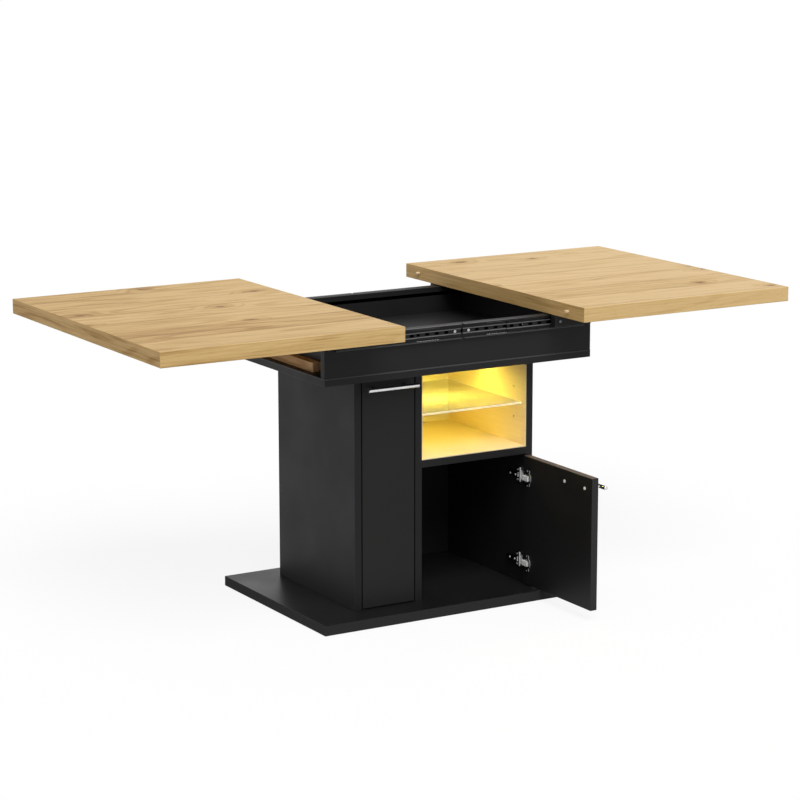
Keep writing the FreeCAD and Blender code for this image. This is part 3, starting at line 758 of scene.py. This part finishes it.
@dataclass(frozen=True)
class LensFinish(Finish):
    """A frosted light cover, brightest over each light behind it."""

    name: str = "light_lens"
    colour: Colour = (1.0, 0.90, 0.70)
    glow: Colour = (1.0, 0.80, 0.12)
    strength: float = 115.0
    dimmest: float = 0.75
    brightest: float = 1.25
    pitch: float = 16.5
    left: float = -64.0
    right: float = 228.0
    left_share: float = 2.0
    right_share: float = 0.08
    frosting: Pair = (900.0, 2.0)
    roughness: Pair = (0.45, 0.6)
    relief: Pair = (0.1, 0.1)

    def paint(self, skin: Shading) -> None:
        """Lay the frosted cover on.

        Args:
            skin: The material's nodes.
        """
        x = skin.place()[0]
        wave = skin.math("SINE", skin.times(x, 2.0 * math.pi / (MM * self.pitch)))
        row = skin.spread(wave, -1.0, 1.0, self.dimmest * self.strength, self.brightest * self.strength)
        share = skin.spread(x, MM * self.left, MM * self.right, self.left_share, self.right_share)
        skin.coat({"Base Color": self.colour, "Emission Color": self.glow,
                   "Emission Strength": skin.times(row, share)})
        skin.follow(skin.cloud(*self.frosting), self.roughness, self.relief)


RAW_EDGE: Colour = (0.105, 0.074, 0.056)
STEEL: Colour = (0.74, 0.74, 0.745)
LOW_HINGES = (80.0, 290.5)
TALL_HINGES = (112.0, 494.0)
OAK = OakFinish()
BLACK_BOARD = BoardFinish()
# The base board's uprights are painted lighter than its top, as painted light.
BASE_BOARD = BoardFinish("black_base", roughness=0.34, side_roughness=0.8)
# The apron boards carry a painted shade band behind the slides' slots.
APRON_BOARD = BoardFinish("black_apron", slot_shade_level=678.0)
# The apron's bottom board carries a painted highlight line at the seam under the front board.
APRON_BOTTOM_BOARD = BoardFinish("black_apron_bottom", highlight_line_level=598.5)
# The tall door's board is painted a little lighter than the other black boards, as painted light.
TALL_DOOR_BOARD = BoardFinish("black_tall_door", (0.0112, 0.0111, 0.0106), (0.0152, 0.015, 0.0145),
                              top_edge=RAW_EDGE)
LOW_DOOR_BOARD = BoardFinish("black_low_door", top_edge=RAW_EDGE, front_edge=(0.02, 0.02, 0.0198))
LINING = LiningFinish()
# The back lining is painted lighter and yellower than the side lining, as painted light from the niche's
# lamp.
LIT_BACK_LINING = LiningFinish("pale_back_lining", (0.95, 0.90, 0.56), (0.90, 0.83, 0.49))
PINE = RawWoodFinish("raw_pine", Grain.ALONG_Y)
DOWEL_WOOD = RawWoodFinish("dowel_wood", Grain.ALONG_X, (0.72, 0.55, 0.34), (0.58, 0.41, 0.22))
GLASS = GlassFinish()
LENS = LensFinish()
CHANNEL_METAL = MetalFinish("light_aluminium", (0.72, 0.72, 0.73), Grain.ALONG_X, 0.34)
HANDLE_METAL_X = MetalFinish("handle_steel_tall", STEEL, Grain.ALONG_X, 0.2)
HANDLE_METAL_Y = MetalFinish("handle_steel_low", STEEL, Grain.ALONG_Y, 0.2)
# The arms' dull faces are painted darker than the cups', as painted shade.
HINGE_ARM_METAL = HingeFinish("hinge_arm_nickel", edges_from=222.5, face=(0.09, 0.09, 0.088))
LOW_CUP_METAL = HingeFinish("low_cup_nickel", LOW_HINGES, edge_share=0.55)
TALL_CUP_METAL = HingeFinish("tall_cup_nickel", TALL_HINGES, edge_share=0.55)
SCREW_METAL = MetalFinish("screw_zinc", (0.52, 0.52, 0.53), Grain.ALONG_Z, 0.34)
BRIGHT_SCREW_METAL = MetalFinish("screw_bright_zinc", (0.88, 0.88, 0.86), Grain.ALONG_Z, 0.3, 0.3)
RUNNER_SCREW_METAL = MetalFinish("screw_black_zinc", (0.2, 0.2, 0.205), Grain.ALONG_Z, 0.34)
PIN_METAL = MetalFinish("pin_nickel", (0.64, 0.63, 0.61), Grain.ALONG_X, 0.25)
SLIDE_METAL = SlideFinish()
CAGE_METAL = MetalFinish("cage_steel", (0.12, 0.12, 0.124), Grain.ALONG_X, 0.4)
BALL_METAL = MetalFinish("ball_steel", (0.72, 0.72, 0.73), Grain.ALONG_X, 0.1, rough_play=0.02)


def placed(name: str, data: bpy.types.ID) -> Piece:
    """Put a mesh, a lamp or a camera into the scene.

    Args:
        name: The new object's name.
        data: What it shows.

    Returns:
        The object.
    """
    piece = bpy.data.objects.new(name, data)
    bpy.context.scene.collection.objects.link(piece)
    return piece


def settle(piece: Piece) -> None:
    """Keep what a piece's modifiers make as its plain mesh.

    Args:
        piece: The piece, which loses its modifiers.
    """
    bpy.context.view_layer.update()
    mesh = bpy.data.meshes.new_from_object(piece.evaluated_get(bpy.context.evaluated_depsgraph_get()))
    piece.modifiers.clear()
    piece.data = mesh


class Tree(Graph):
    """A Geometry Nodes tree with named inputs for its sizes."""

    def __init__(self, name: str, inputs: dict[str, str]) -> None:
        """Start a tree.

        Args:
            name: The tree's name.
            inputs: The inputs' names and kinds, after the geometry.
        """
        super().__init__(bpy.data.node_groups.new(name, "GeometryNodeTree"))
        for label, kind in {"Geometry": "Geometry", **inputs}.items():
            self.tree.interface.new_socket(label, in_out="INPUT", socket_type=f"NodeSocket{kind}")
        self.tree.interface.new_socket("Geometry", in_out="OUTPUT", socket_type="NodeSocketGeometry")
        self.entry = self.add("NodeGroupInput", {})

    def size(self, label: str) -> Socket:
        """The socket of a named input."""
        return self.entry.outputs[label]

    def copies(self, points: Socket, shape: Socket, **more: Socket) -> Socket:
        """Copies of a shape on points; more names other inputs of the node."""
        return self.make("GeometryNodeInstanceOnPoints", {"Points": points, "Instance": shape, **more})

    def row(self, count: Socket, start: object) -> Socket:
        """Points in a row along X, one pitch apart, by how many there are and where they start."""
        offset, first = self.point(self.size("Pitch"), 0.0, 0.0), self.point(start, 0.0, 0.0)
        return self.make("GeometryNodeMeshLine", {"Count": count, "Offset": offset, "Start Location": first})

    def block(self, length: Socket, width: Socket) -> Socket:
        """A block of the tree's own thickness."""
        return self.make("GeometryNodeMeshCube", {"Size": self.point(length, width, self.size("Thickness"))})

    def close(self, shape: Socket, smooth: bool) -> None:
        """End the tree with real geometry in one finish.

        Args:
            shape: What the tree has made.
            smooth: Whether its faces are shaded smooth.
        """
        real = self.make("GeometryNodeRealizeInstances", {"Geometry": shape})
        shaded = self.make("GeometryNodeSetShadeSmooth", {"Geometry": real, "Shade Smooth": smooth})
        coat = self.make("GeometryNodeSetMaterial", {"Geometry": shaded, "Material": self.size("Finish")})
        self.add("NodeGroupOutput", {"Geometry": coat})

    def grow(self, name: str, seed: Mesh, values: Values) -> Piece:
        """Run the tree on a seed mesh and keep the result as a plain mesh.

        Args:
            name: The new piece's name.
            seed: The mesh that the tree starts from.
            values: The named inputs' values.

        Returns:
            The finished piece.
        """
        piece = placed(name, seed)
        modifier = piece.modifiers.new("nodes", "NODES")
        modifier.node_group = self.tree
        for item in self.tree.interface.items_tree:
            if item.in_out == "INPUT" and item.name in values:
                modifier[item.identifier] = values[item.name]
        settle(piece)
        piece.data.name = name
        return piece


def point_mesh(name: str, places: list[Place], turns: list[Place] | None = None) -> Mesh:
    """A mesh of loose points, with a turn for each.

    Args:
        name: The mesh's name.
        places: The points.
        turns: Their turns about X, Y and Z in degrees.

    Returns:
        The mesh.
    """
    mesh = bpy.data.meshes.new(name)
    mesh.from_pydata([tuple(MM * part for part in place) for place in places], [], [])
    if turns:
        store = mesh.attributes.new("turn", "FLOAT_VECTOR", "POINT")
        for item, turn in zip(store.data, turns):
            item.vector = [math.radians(part) for part in turn]
    return mesh


def ball_tree() -> Tree:
    """A tree that lays a row of balls from each point, along X.

    Returns:
        The tree.
    """
    tree = Tree("ball_row", {"Balls": "Int", "Pitch": "Float", "Radius": "Float", "Finish": "Material"})
    sizes = {"Segments": BALL_SEGMENTS, "Rings": BALL_RINGS, "Radius": tree.size("Radius")}
    ball = tree.make("GeometryNodeMeshUVSphere", sizes)
    line = tree.row(tree.size("Balls"), tree.times(tree.size("Pitch"), HALF))
    tree.close(tree.copies(tree.size("Geometry"), tree.copies(line, ball)), True)
    return tree


def cage_tree() -> Tree:
    """A tree that lays a ladder-shaped ball cage from each point, along X.

    Returns:
        The tree.
    """
    tree = Tree("ball_cage", {"Balls": "Int", "Pitch": "Float", "Rung": "Float", "Width": "Float",
                              "Rail": "Float", "Thickness": "Float", "Finish": "Material"})
    balls, rung, width, rail = (tree.size(label) for label in ("Balls", "Rung", "Width", "Rail"))
    span = tree.times(balls, tree.size("Pitch"))
    length = tree.math("ADD", span, rung)
    middle = tree.times(span, HALF)
    aside = tree.times(tree.math("SUBTRACT", width, rail), HALF)
    rungs = tree.copies(tree.row(tree.math("ADD", balls, 1), 0.0), tree.block(rung, width))
    both = tree.add("GeometryNodeJoinGeometry", {"Geometry": rungs})
    for way in BOTH:
        place = tree.point(middle, tree.times(aside, way), 0.0)
        moved = {"Geometry": tree.block(length, rail), "Translation": place}
        tree.join(tree.make("GeometryNodeTransform", moved), both.inputs["Geometry"])
    tree.close(tree.copies(tree.size("Geometry"), both.outputs["Geometry"]), False)
    return tree


def fastener_tree() -> Tree:
    """A tree that sets a copy of one screw on each point, turned as the point says.

    Returns:
        The tree.
    """
    tree = Tree("fasteners", {"Screw": "Object", "Finish": "Material"})
    screw = tree.make("GeometryNodeObjectInfo", {"Object": tree.size("Screw")}, "Geometry")
    angles = tree.add("GeometryNodeInputNamedAttribute", {"Name": "turn"}, data_type="FLOAT_VECTOR")
    turned = tree.make("FunctionNodeEulerToRotation", {0: angles.outputs["Attribute"]})
    tree.close(tree.copies(tree.size("Geometry"), screw, Rotation=turned), False)
    return tree


def kept(shape: bmesh.types.BMesh, name: str) -> Mesh:
    """Turn a shape into a mesh that stays.

    Args:
        shape: The shape, which is freed.
        name: The mesh's name.

    Returns:
        The mesh.
    """
    mesh = bpy.data.meshes.new(name)
    shape.to_mesh(mesh)
    shape.free()
    return mesh


@dataclass(frozen=True)
class Screw:
    """A screw with a crossed head; its head points along +Z and its shank runs down from 0.

    The head's outline runs from its crown down, in shares of its radius and height.
    """

    head_radius: float
    head_height: float
    shank_radius: float
    shank_length: float
    segments: int = 20
    head: tuple[Pair, ...] = (
        (0.0, 1.0), (0.45, 0.97), (0.8, 0.895), (0.96, 0.65), (1.0, 0.325), (1.0, 0.0))
    recess_depth: float = 0.6
    recess_width: float = 0.28
    recess_reach: float = 0.62

    def outline(self) -> list[Pair]:
        """The lathe outline, from the crown down to the tip.

        Returns:
            Its radii and heights.
        """
        rows = [(share * self.head_radius, rise * self.head_height) for share, rise in self.head]
        tip = -self.shank_length
        return rows + [(self.shank_radius, 0.0), (self.shank_radius, tip), (0.0, tip)]

    def lathe(self) -> Mesh:
        """The screw turned from its outline, before its cross is cut.

        Returns:
            The turned mesh.
        """
        shape = bmesh.new()
        rows = []
        for radius, height in self.outline():
            count = self.segments if radius > 0.0 else 1
            ring = []
            for index in range(count):
                turn = 2.0 * math.pi * index / self.segments
                corner = Vector((radius * math.cos(turn), radius * math.sin(turn), height))
                ring.append(shape.verts.new(MM * corner))
            rows.append(ring)
        for upper, lower in zip(rows, rows[1:]):
            for index in range(self.segments):
                after = (index + 1) % self.segments
                corners = [upper[index % len(upper)], lower[index % len(lower)],
                           lower[after % len(lower)], upper[after % len(upper)]]
                shape.faces.new(list(dict.fromkeys(corners)))
        bmesh.ops.recalc_face_normals(shape, faces=shape.faces)
        return kept(shape, "screw_turned")

    def cross(self) -> Mesh:
        """The two crossed bars that cut the head's recess.

        Returns:
            The bars' mesh.
        """
        shape = bmesh.new()
        reach = 2.0 * self.recess_reach * self.head_radius
        width = self.recess_width * self.head_radius
        depth = 2.0 * self.recess_depth * self.head_height
        for size in ((reach, width), (width, reach)):
            made = bmesh.ops.create_cube(shape, size=1.0)
            grow = Matrix.Diagonal((MM * size[0], MM * size[1], MM * depth, 1.0))
            lift = Matrix.Translation((0.0, 0.0, MM * self.head_height))
            bmesh.ops.transform(shape, matrix=lift @ grow, verts=made["verts"])
        return kept(shape, "screw_cross")

    def template(self) -> Piece:
        """The finished screw, to be copied and then removed.

        Returns:
            The screw as one object.
        """
        body = placed("screw_template", self.lathe())
        tool = placed("screw_tool", self.cross())
        cut = body.modifiers.new("cross", "BOOLEAN")
        cut.object = tool
        cut.use_self = True
        settle(body)
        bpy.data.objects.remove(tool)
        return body


@dataclass
class Fasteners:
    """A set of like screws that ride on one body."""

    tree: Tree
    screw: Screw
    metal: Finish = SCREW_METAL
    slot: str = "screw_steel"
    places: list[Place] = field(default_factory=list)
    turns: list[Place] = field(default_factory=list)

    def add(self, place: Place, turn: Place) -> None:
        """Add a screw whose head's underside is at a point, turned by angles in degrees."""
        self.places.append(place)
        self.turns.append(turn)

    def finish(self, name: str, body: str, node: str | None = None) -> None:
        """Make the screws one piece.

        Args:
            name: The piece's name.
            body: The body that it rides on.
            node: The CAD node that it stands for, if there is one.
        """
        template = self.screw.template()
        piece = self.tree.grow(name, point_mesh("places", self.places, self.turns),
                               {"Screw": template, "Finish": self.metal.material()})
        bpy.data.objects.remove(template)
        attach(piece, body)
        if node:
            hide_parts(node)
        LOG.info("made %s with %d screws", name, len(self.places))


class Assembly:
    """A sub-assembly whose CAD nodes take finishes; looks pairs each finish with its nodes' names."""

    looks: Looks

    def dress(self, nodes: dict[str, Piece]) -> None:
        """Give the CAD nodes their finishes.

        Args:
            nodes: The frame's nodes by name.
        """
        for finish, names in self.looks:
            material = finish.material()
            for name in names.split():
                piece = nodes[name]
                if not piece.material_slots:
                    piece.data.materials.append(material)
                for slot in piece.material_slots:
                    slot.material = material
                LOG.info("dressed %s with %s", name, finish.name)


@dataclass
class Tops(Assembly):
    """The two oak halves with the dowels that line them up."""

    looks: Looks = ((OAK, "top_left top_right"), (DOWEL_WOOD, "alignment_dowels"))


@dataclass
class Carcass(Assembly):
    """Base board, pedestal boards and apron with the tray inside it."""

    looks: Looks = (
        (BLACK_BOARD, "side_left side_right divider back_panel fixed_shelf top_board tall_shelves"),
        (BLACK_BOARD, "tray_end_left tray_end_right tray_floor"),
        (BLACK_BOARD, "runner_left_front runner_left_back runner_right_front runner_right_back"),
        (BASE_BOARD, "base_plate"),
        (APRON_BOARD, "apron_front apron_back"),
        (APRON_BOTTOM_BOARD, "apron_bottom"),
        (TALL_DOOR_BOARD, "tall_door"),
        (LOW_DOOR_BOARD, "low_door"),
        (PINE, "end_cleats tray_bearers"))


@dataclass
class Niche(Assembly):
    """The lit niche: lining, glass shelf, pins and light."""

    looks: Looks = (
        (LINING, "niche_liner_floor niche_liner_left niche_liner_right"),
        (LIT_BACK_LINING, "niche_liner_back"),
        (GLASS, "glass_shelf"),
        (PIN_METAL, "shelf_pins"),
        (CHANNEL_METAL, "light_channel"),
        (LENS, "light_diffuser"))


@dataclass(frozen=True)
class BallRow:
    """One length of caged balls: its near end, its balls, the cage's width and where the race runs."""

    start: float
    balls: int
    radius: float
    width: float
    race: float
    reach: float


@dataclass
class Slides(Assembly):
    """The telescopic slides, their ball cages and their screws; tree sets the screws."""

    tree: Tree
    looks: Looks = (
        (SLIDE_METAL, "slide_fixed_left slide_fixed_right slide_middle_left slide_middle_right"),
        (SLIDE_METAL, "slide_inner_left slide_inner_right"))
    apron_side: float = 250.5
    level: float = 678.0
    outer: BallRow = BallRow(62.9375, 42, 1.5, 4.2, 14.2, 5.35)
    inner: BallRow = BallRow(247.8125, 15, 1.4, 4.0, 9.9, 6.9)
    ball_pitch: float = 6.5
    rung: float = 2.6
    rail: float = 0.6
    cage_thickness: float = 0.8
    cage_inset: float = 1.6
    fixed_screws: tuple[float, ...] = (18.5, 170.5, 322.5)
    fixed_face: float = 251.7
    runner_screws: tuple[float, ...] = (254.5, 399.5, 544.5)
    runner_face: float = 281.2
    runner_level: float = 681.5
    fixed_screw: Screw = Screw(3.5, 0.9, 1.75, 13.2)
    runner_screw: Screw = Screw(3.5, 2.0, 2.0, 19.2)

    def starts(self, row: BallRow, left: bool) -> list[Place]:
        """Where the rows of balls of one side of the table begin.

        Args:
            row: The kind of row.
            left: Whether this is the left side.

        Returns:
            The four starting points.
        """
        near = row.start + self.cage_inset
        x = -near - row.balls * self.ball_pitch if left else near
        return [(x, side * (self.apron_side + row.reach), self.level + way * row.race)
                for side in BOTH for way in BOTH]

    def build_cages(self, balls: Tree, cages: Tree) -> None:
        """Make the balls and cages of both sides.

        Args:
            balls: The tree that lays balls.
            cages: The tree that lays cages.
        """
        for side in ("left", "right"):
            for kind, run in (("outer", self.outer), ("inner", self.inner)):
                body = f"{side}_{kind}_cages"
                places = self.starts(run, side == "left")
                shared = {"Balls": run.balls, "Pitch": MM * self.ball_pitch}
                row = balls.grow(f"balls_{kind}_{side}", point_mesh("rows", places), {
                    **shared, "Radius": MM * run.radius, "Finish": BALL_METAL.material()})
                cage = cages.grow(f"cage_{kind}_{side}", point_mesh("rows", places), {
                    **shared, "Rung": MM * self.rung, "Width": MM * run.width, "Rail": MM * self.rail,
                    "Thickness": MM * self.cage_thickness, "Finish": CAGE_METAL.material()})
                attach(row, body)
                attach(cage, body)
                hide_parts(f"{kind}_cages_{side}")
                LOG.info("made %s and %s", row.name, cage.name)

    def build_screws(self) -> None:
        """Set the screws of the fixed members and of the runners."""
        held = Fasteners(self.tree, self.fixed_screw)
        for x in self.fixed_screws:
            for way in BOTH:
                held.add((way * x, -self.fixed_face, self.level), Facing.FRONT.value)
                held.add((way * x, self.fixed_face, self.level), Facing.BACK.value)
        held.finish("slide_screw_set", "frame", "slide_screws")
        for side, way in (("left", -1.0), ("right", 1.0)):
            drawn = Fasteners(self.tree, self.runner_screw, RUNNER_SCREW_METAL)
            for x in self.runner_screws:
                drawn.add((way * x, -self.runner_face, self.runner_level), Facing.FRONT.value)
                drawn.add((way * x, self.runner_face, self.runner_level), Facing.BACK.value)
            drawn.finish(f"runner_screw_set_{side}", f"{side}_top", f"runner_screws_{side}")


@dataclass
class Doors(Assembly):
    """Both doors' handles, hinges and screws; tree sets the screws."""

    tree: Tree
    looks: Looks = (
        (HANDLE_METAL_X, "tall_handle"),
        (HANDLE_METAL_Y, "low_handle"),
        (HINGE_ARM_METAL, "hinge_arms hinge_pins"),
        (LOW_CUP_METAL, "low_hinge_cups"),
        (TALL_CUP_METAL, "tall_hinge_cups"))
    front: float = -181.0
    board: float = 18.0
    low_axis: float = 233.0
    tall_axis: float = -233.0
    pivot_inset: float = 5.0
    pivot_setback: float = 5.5
    open_angle: float = 90.0
    door_gap: float = 3.0
    cup_setback: float = 17.5
    flange: float = 1.8
    wing: float = 17.8
    plate_rise: float = 4.0
    plate_reach: float = 29.5
    plate_screw: float = 12.4
    arm_rise: float = 9.0
    arm_reaches: Pair = (31.5, 53.5)
    low_handle: Pair = (10.0, 315.5)
    tall_handle: Pair = (-155.0, 551.0)
    handle_span: float = 83.0
    handle_screw: Screw = Screw(4.0, 2.0, 2.0, 28.0)
    wing_screw: Screw = Screw(2.3, 0.9, 1.4, 10.0)
    plate_fixing: Screw = Screw(3.2, 1.4, 1.8, 13.0)
    arm_fixing: Screw = Screw(2.6, 0.8, 1.6, 3.0)

    def add_opened(self, screws: Fasteners, place: Place) -> None:
        """Add a screw to the low door's inner face, turned with the door to where it stands open.

        Args:
            screws: The set that it belongs to.
            place: Its place with the door closed.
        """
        pivot = Vector((self.low_axis, self.front + self.pivot_setback, 0.0))
        turn = Euler((0.0, 0.0, math.radians(self.open_angle))).to_matrix()
        moved = turn @ (Vector(place) - pivot) + pivot
        screws.add(tuple(moved), (-90.0, 0.0, self.open_angle))

    def screw_sets(self, screw: Screw, metal: Finish) -> tuple[Fasteners, Fasteners]:
        """Empty sets of like screws for the low door and the tall door."""
        return Fasteners(self.tree, screw, metal), Fasteners(self.tree, screw, metal)

    def build_handle_screws(self) -> None:
        """Set the screws that hold the handles, with their heads on the doors' inner faces."""
        inner = self.front + self.board
        low, tall = self.screw_sets(self.handle_screw, BRIGHT_SCREW_METAL)
        for way in (-HALF, HALF):
            x, z = self.low_handle
            self.add_opened(low, (x + way * self.handle_span, inner, z))
            x, z = self.tall_handle
            tall.add((x + way * self.handle_span, inner, z), Facing.BACK.value)
        low.finish("low_handle_screw_set", "low_door", "low_handle_screws")
        tall.finish("tall_handle_screw_set", "tall_door", "tall_handle_screws")

    def build_hinge_screws(self) -> None:
        """Set the small screws of the hinges' flanges, plates and arms."""
        face = self.front + self.board + self.flange
        inset = self.pivot_inset + self.door_gap + self.cup_setback
        low, tall = self.screw_sets(self.wing_screw, SCREW_METAL)
        for way in BOTH:
            for level in LOW_HINGES:
                self.add_opened(low, (self.low_axis - inset, face, level + way * self.wing))
            for level in TALL_HINGES:
                tall.add((self.tall_axis + inset, face, level + way * self.wing), Facing.BACK.value)
        low.finish("low_hinge_wing_screws", "low_door")
        tall.finish("tall_hinge_wing_screws", "tall_door")
        plates = Fasteners(self.tree, self.plate_fixing)
        arms = Fasteners(self.tree, self.arm_fixing, BRIGHT_SCREW_METAL)
        sides = ((self.low_axis - self.pivot_inset, -1.0, LOW_HINGES, Facing.LEFT),
                 (self.tall_axis + self.pivot_inset, 1.0, TALL_HINGES, Facing.RIGHT))
        for wall, inward, levels, facing in sides:
            for level in levels:
                for way in BOTH:
                    plates.add((wall + inward * self.plate_rise, self.front + self.plate_reach,
                                level + way * self.plate_screw), facing.value)
                for reach in self.arm_reaches:
                    arms.add((wall + inward * self.arm_rise, self.front + reach, level), facing.value)
        plates.finish("hinge_plate_screws", "frame")
        arms.finish("hinge_arm_screws", "frame")


@dataclass
class BoardScrews(Assembly):
    """Screws up through the base board and into the apron's sides, and hidden bolts; tree sets the screws."""

    tree: Tree
    looks: Looks = ((SCREW_METAL, "apron_bolts"),)
    base_rise: float = 3.0
    apron_rise: float = 585.0
    base_places: tuple[Pair, ...] = (
        (-237.0, -120.0), (-237.0, 120.0), (-73.0, -120.0), (-73.0, 120.0), (237.0, -120.0), (237.0, 120.0),
        (-130.0, 182.0), (130.0, 182.0))
    apron_xs: tuple[float, ...] = (-300.0, 0.0, 300.0)
    apron_y: float = 241.5
    base_screw: Screw = Screw(5.0, 2.0, 2.75, 51.0)
    apron_screw: Screw = Screw(5.0, 2.0, 2.75, 45.0)

    def build(self) -> None:
        """Set the screws."""
        base = Fasteners(self.tree, self.base_screw)
        for x, y in self.base_places:
            base.add((x, y, self.base_rise), Facing.DOWN.value)
        base.finish("carcass_screw_set", "frame", "carcass_screws")
        apron = Fasteners(self.tree, self.apron_screw)
        for x in self.apron_xs:
            for y in (-self.apron_y, self.apron_y):
                apron.add((x, y, self.apron_rise), Facing.DOWN.value)
        apron.finish("apron_screw_set", "frame", "apron_screws")


@dataclass
class Studio:
    """Pale floor, soft lamp, white surroundings and the camera."""

    floor_size: float = 200000.0
    floor_drop: float = 0.6
    floor_colour: Colour = (0.42, 0.42, 0.42)
    floor_white: float = 0.86
    ambient: float = 0.42
    key_from: Place = (-0.11, -0.47, 0.58)
    key_spread: float = 40.0
    key_strength: float = 2.45
    focal_pixels: float = 2615.22
    frame_pixels: float = 800.0
    sensor: float = 36.0
    far_limit: float = 100000.0
    yaw: float = 30.743
    pitch: float = -11.631
    roll: float = -0.036
    eye: Place = (-3163.4, -5291.4, 1739.3)

    def seen(self, graph: Graph) -> Socket:
        """A factor that is 1 for rays that show the surroundings, and 0 for rays that only light.

        Args:
            graph: The nodes to add it to.

        Returns:
            The factor's socket.
        """
        path = graph.add("ShaderNodeLightPath", {})
        total = path.outputs["Is Camera Ray"]
        for name in ("Is Glossy Ray", "Is Transmission Ray"):
            total = graph.math("MAXIMUM", total, path.outputs[name])
        return total

    def build_world(self) -> None:
        """White surroundings that light the table softly."""
        world = bpy.data.worlds.new("studio")
        bpy.context.scene.world = world
        world.use_nodes = True
        graph = Graph(world.node_tree)
        lit, shown = (graph.make("ShaderNodeBackground", {"Color": WHITE, "Strength": strength})
                      for strength in (self.ambient, 1.0))
        graph.add("ShaderNodeOutputWorld", {"Surface": graph.mix(self.seen(graph), lit, shown)})

    def build_floor(self) -> None:
        """A pale floor that shows white with a soft shadow."""
        half = HALF * MM * self.floor_size
        mesh = bpy.data.meshes.new("floor")
        corners = [(-half, -half), (half, -half), (half, half), (-half, half)]
        mesh.from_pydata([(x, y, -MM * self.floor_drop) for x, y in corners], [], [(0, 1, 2, 3)])
        floor = placed("floor", mesh)
        material = bpy.data.materials.new("floor_white")
        material.use_nodes = True
        graph = Graph(material.node_tree)
        seen = self.seen(graph)
        paint, bright = (graph.make("ShaderNodeBsdfDiffuse", {"Color": colour})
                         for colour in (self.floor_colour, WHITE))
        white = graph.make("ShaderNodeEmission", {"Color": WHITE})
        share = graph.times(seen, self.floor_white)
        shown = graph.mix(share, graph.mix(seen, paint, bright), white)
        graph.add("ShaderNodeOutputMaterial", {"Surface": shown})
        mesh.materials.append(material)

    def build_lamp(self) -> None:
        """One broad soft lamp above and in front."""
        lamp = bpy.data.lights.new("key", "SUN")
        lamp.energy = self.key_strength
        lamp.angle = math.radians(self.key_spread)
        holder = placed("key", lamp)
        holder.rotation_euler = (-Vector(self.key_from)).to_track_quat("-Z", "Y").to_euler()

    def build_camera(self) -> None:
        """The camera, solved from the photograph's straight edges."""
        lens = bpy.data.cameras.new("camera")
        lens.sensor_width = self.sensor
        lens.lens = self.focal_pixels * self.sensor / self.frame_pixels
        lens.clip_end = MM * self.far_limit
        camera = placed("camera", lens)
        where = Matrix.Translation(MM * Vector(self.eye))
        for angle, axis in ((-self.yaw, "Z"), (90.0 + self.pitch, "X"), (self.roll, "Z")):
            where = where @ Matrix.Rotation(math.radians(angle), 4, axis)
        camera.matrix_world = where
        bpy.context.scene.camera = camera

    def build(self) -> None:
        """Make everything around the table."""
        self.build_world()
        self.build_floor()
        self.build_lamp()
        self.build_camera()
        bpy.context.scene.view_settings.view_transform = "Standard"


def main() -> None:
    """Load the frame, build each sub-assembly in order and set up the studio."""
    logging.basicConfig(level=logging.INFO, format="%(name)s: %(message)s")
    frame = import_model()
    fasteners = fastener_tree()
    slides, doors, board_screws = Slides(fasteners), Doors(fasteners), BoardScrews(fasteners)
    for assembly in (Tops(), Carcass(), Niche(), slides, doors, board_screws):
        assembly.dress(frame["nodes"])
    slides.build_cages(ball_tree(), cage_tree())
    slides.build_screws()
    doors.build_handle_screws()
    doors.build_hinge_screws()
    board_screws.build()
    Studio().build()


if __name__ == "__main__":
    main()
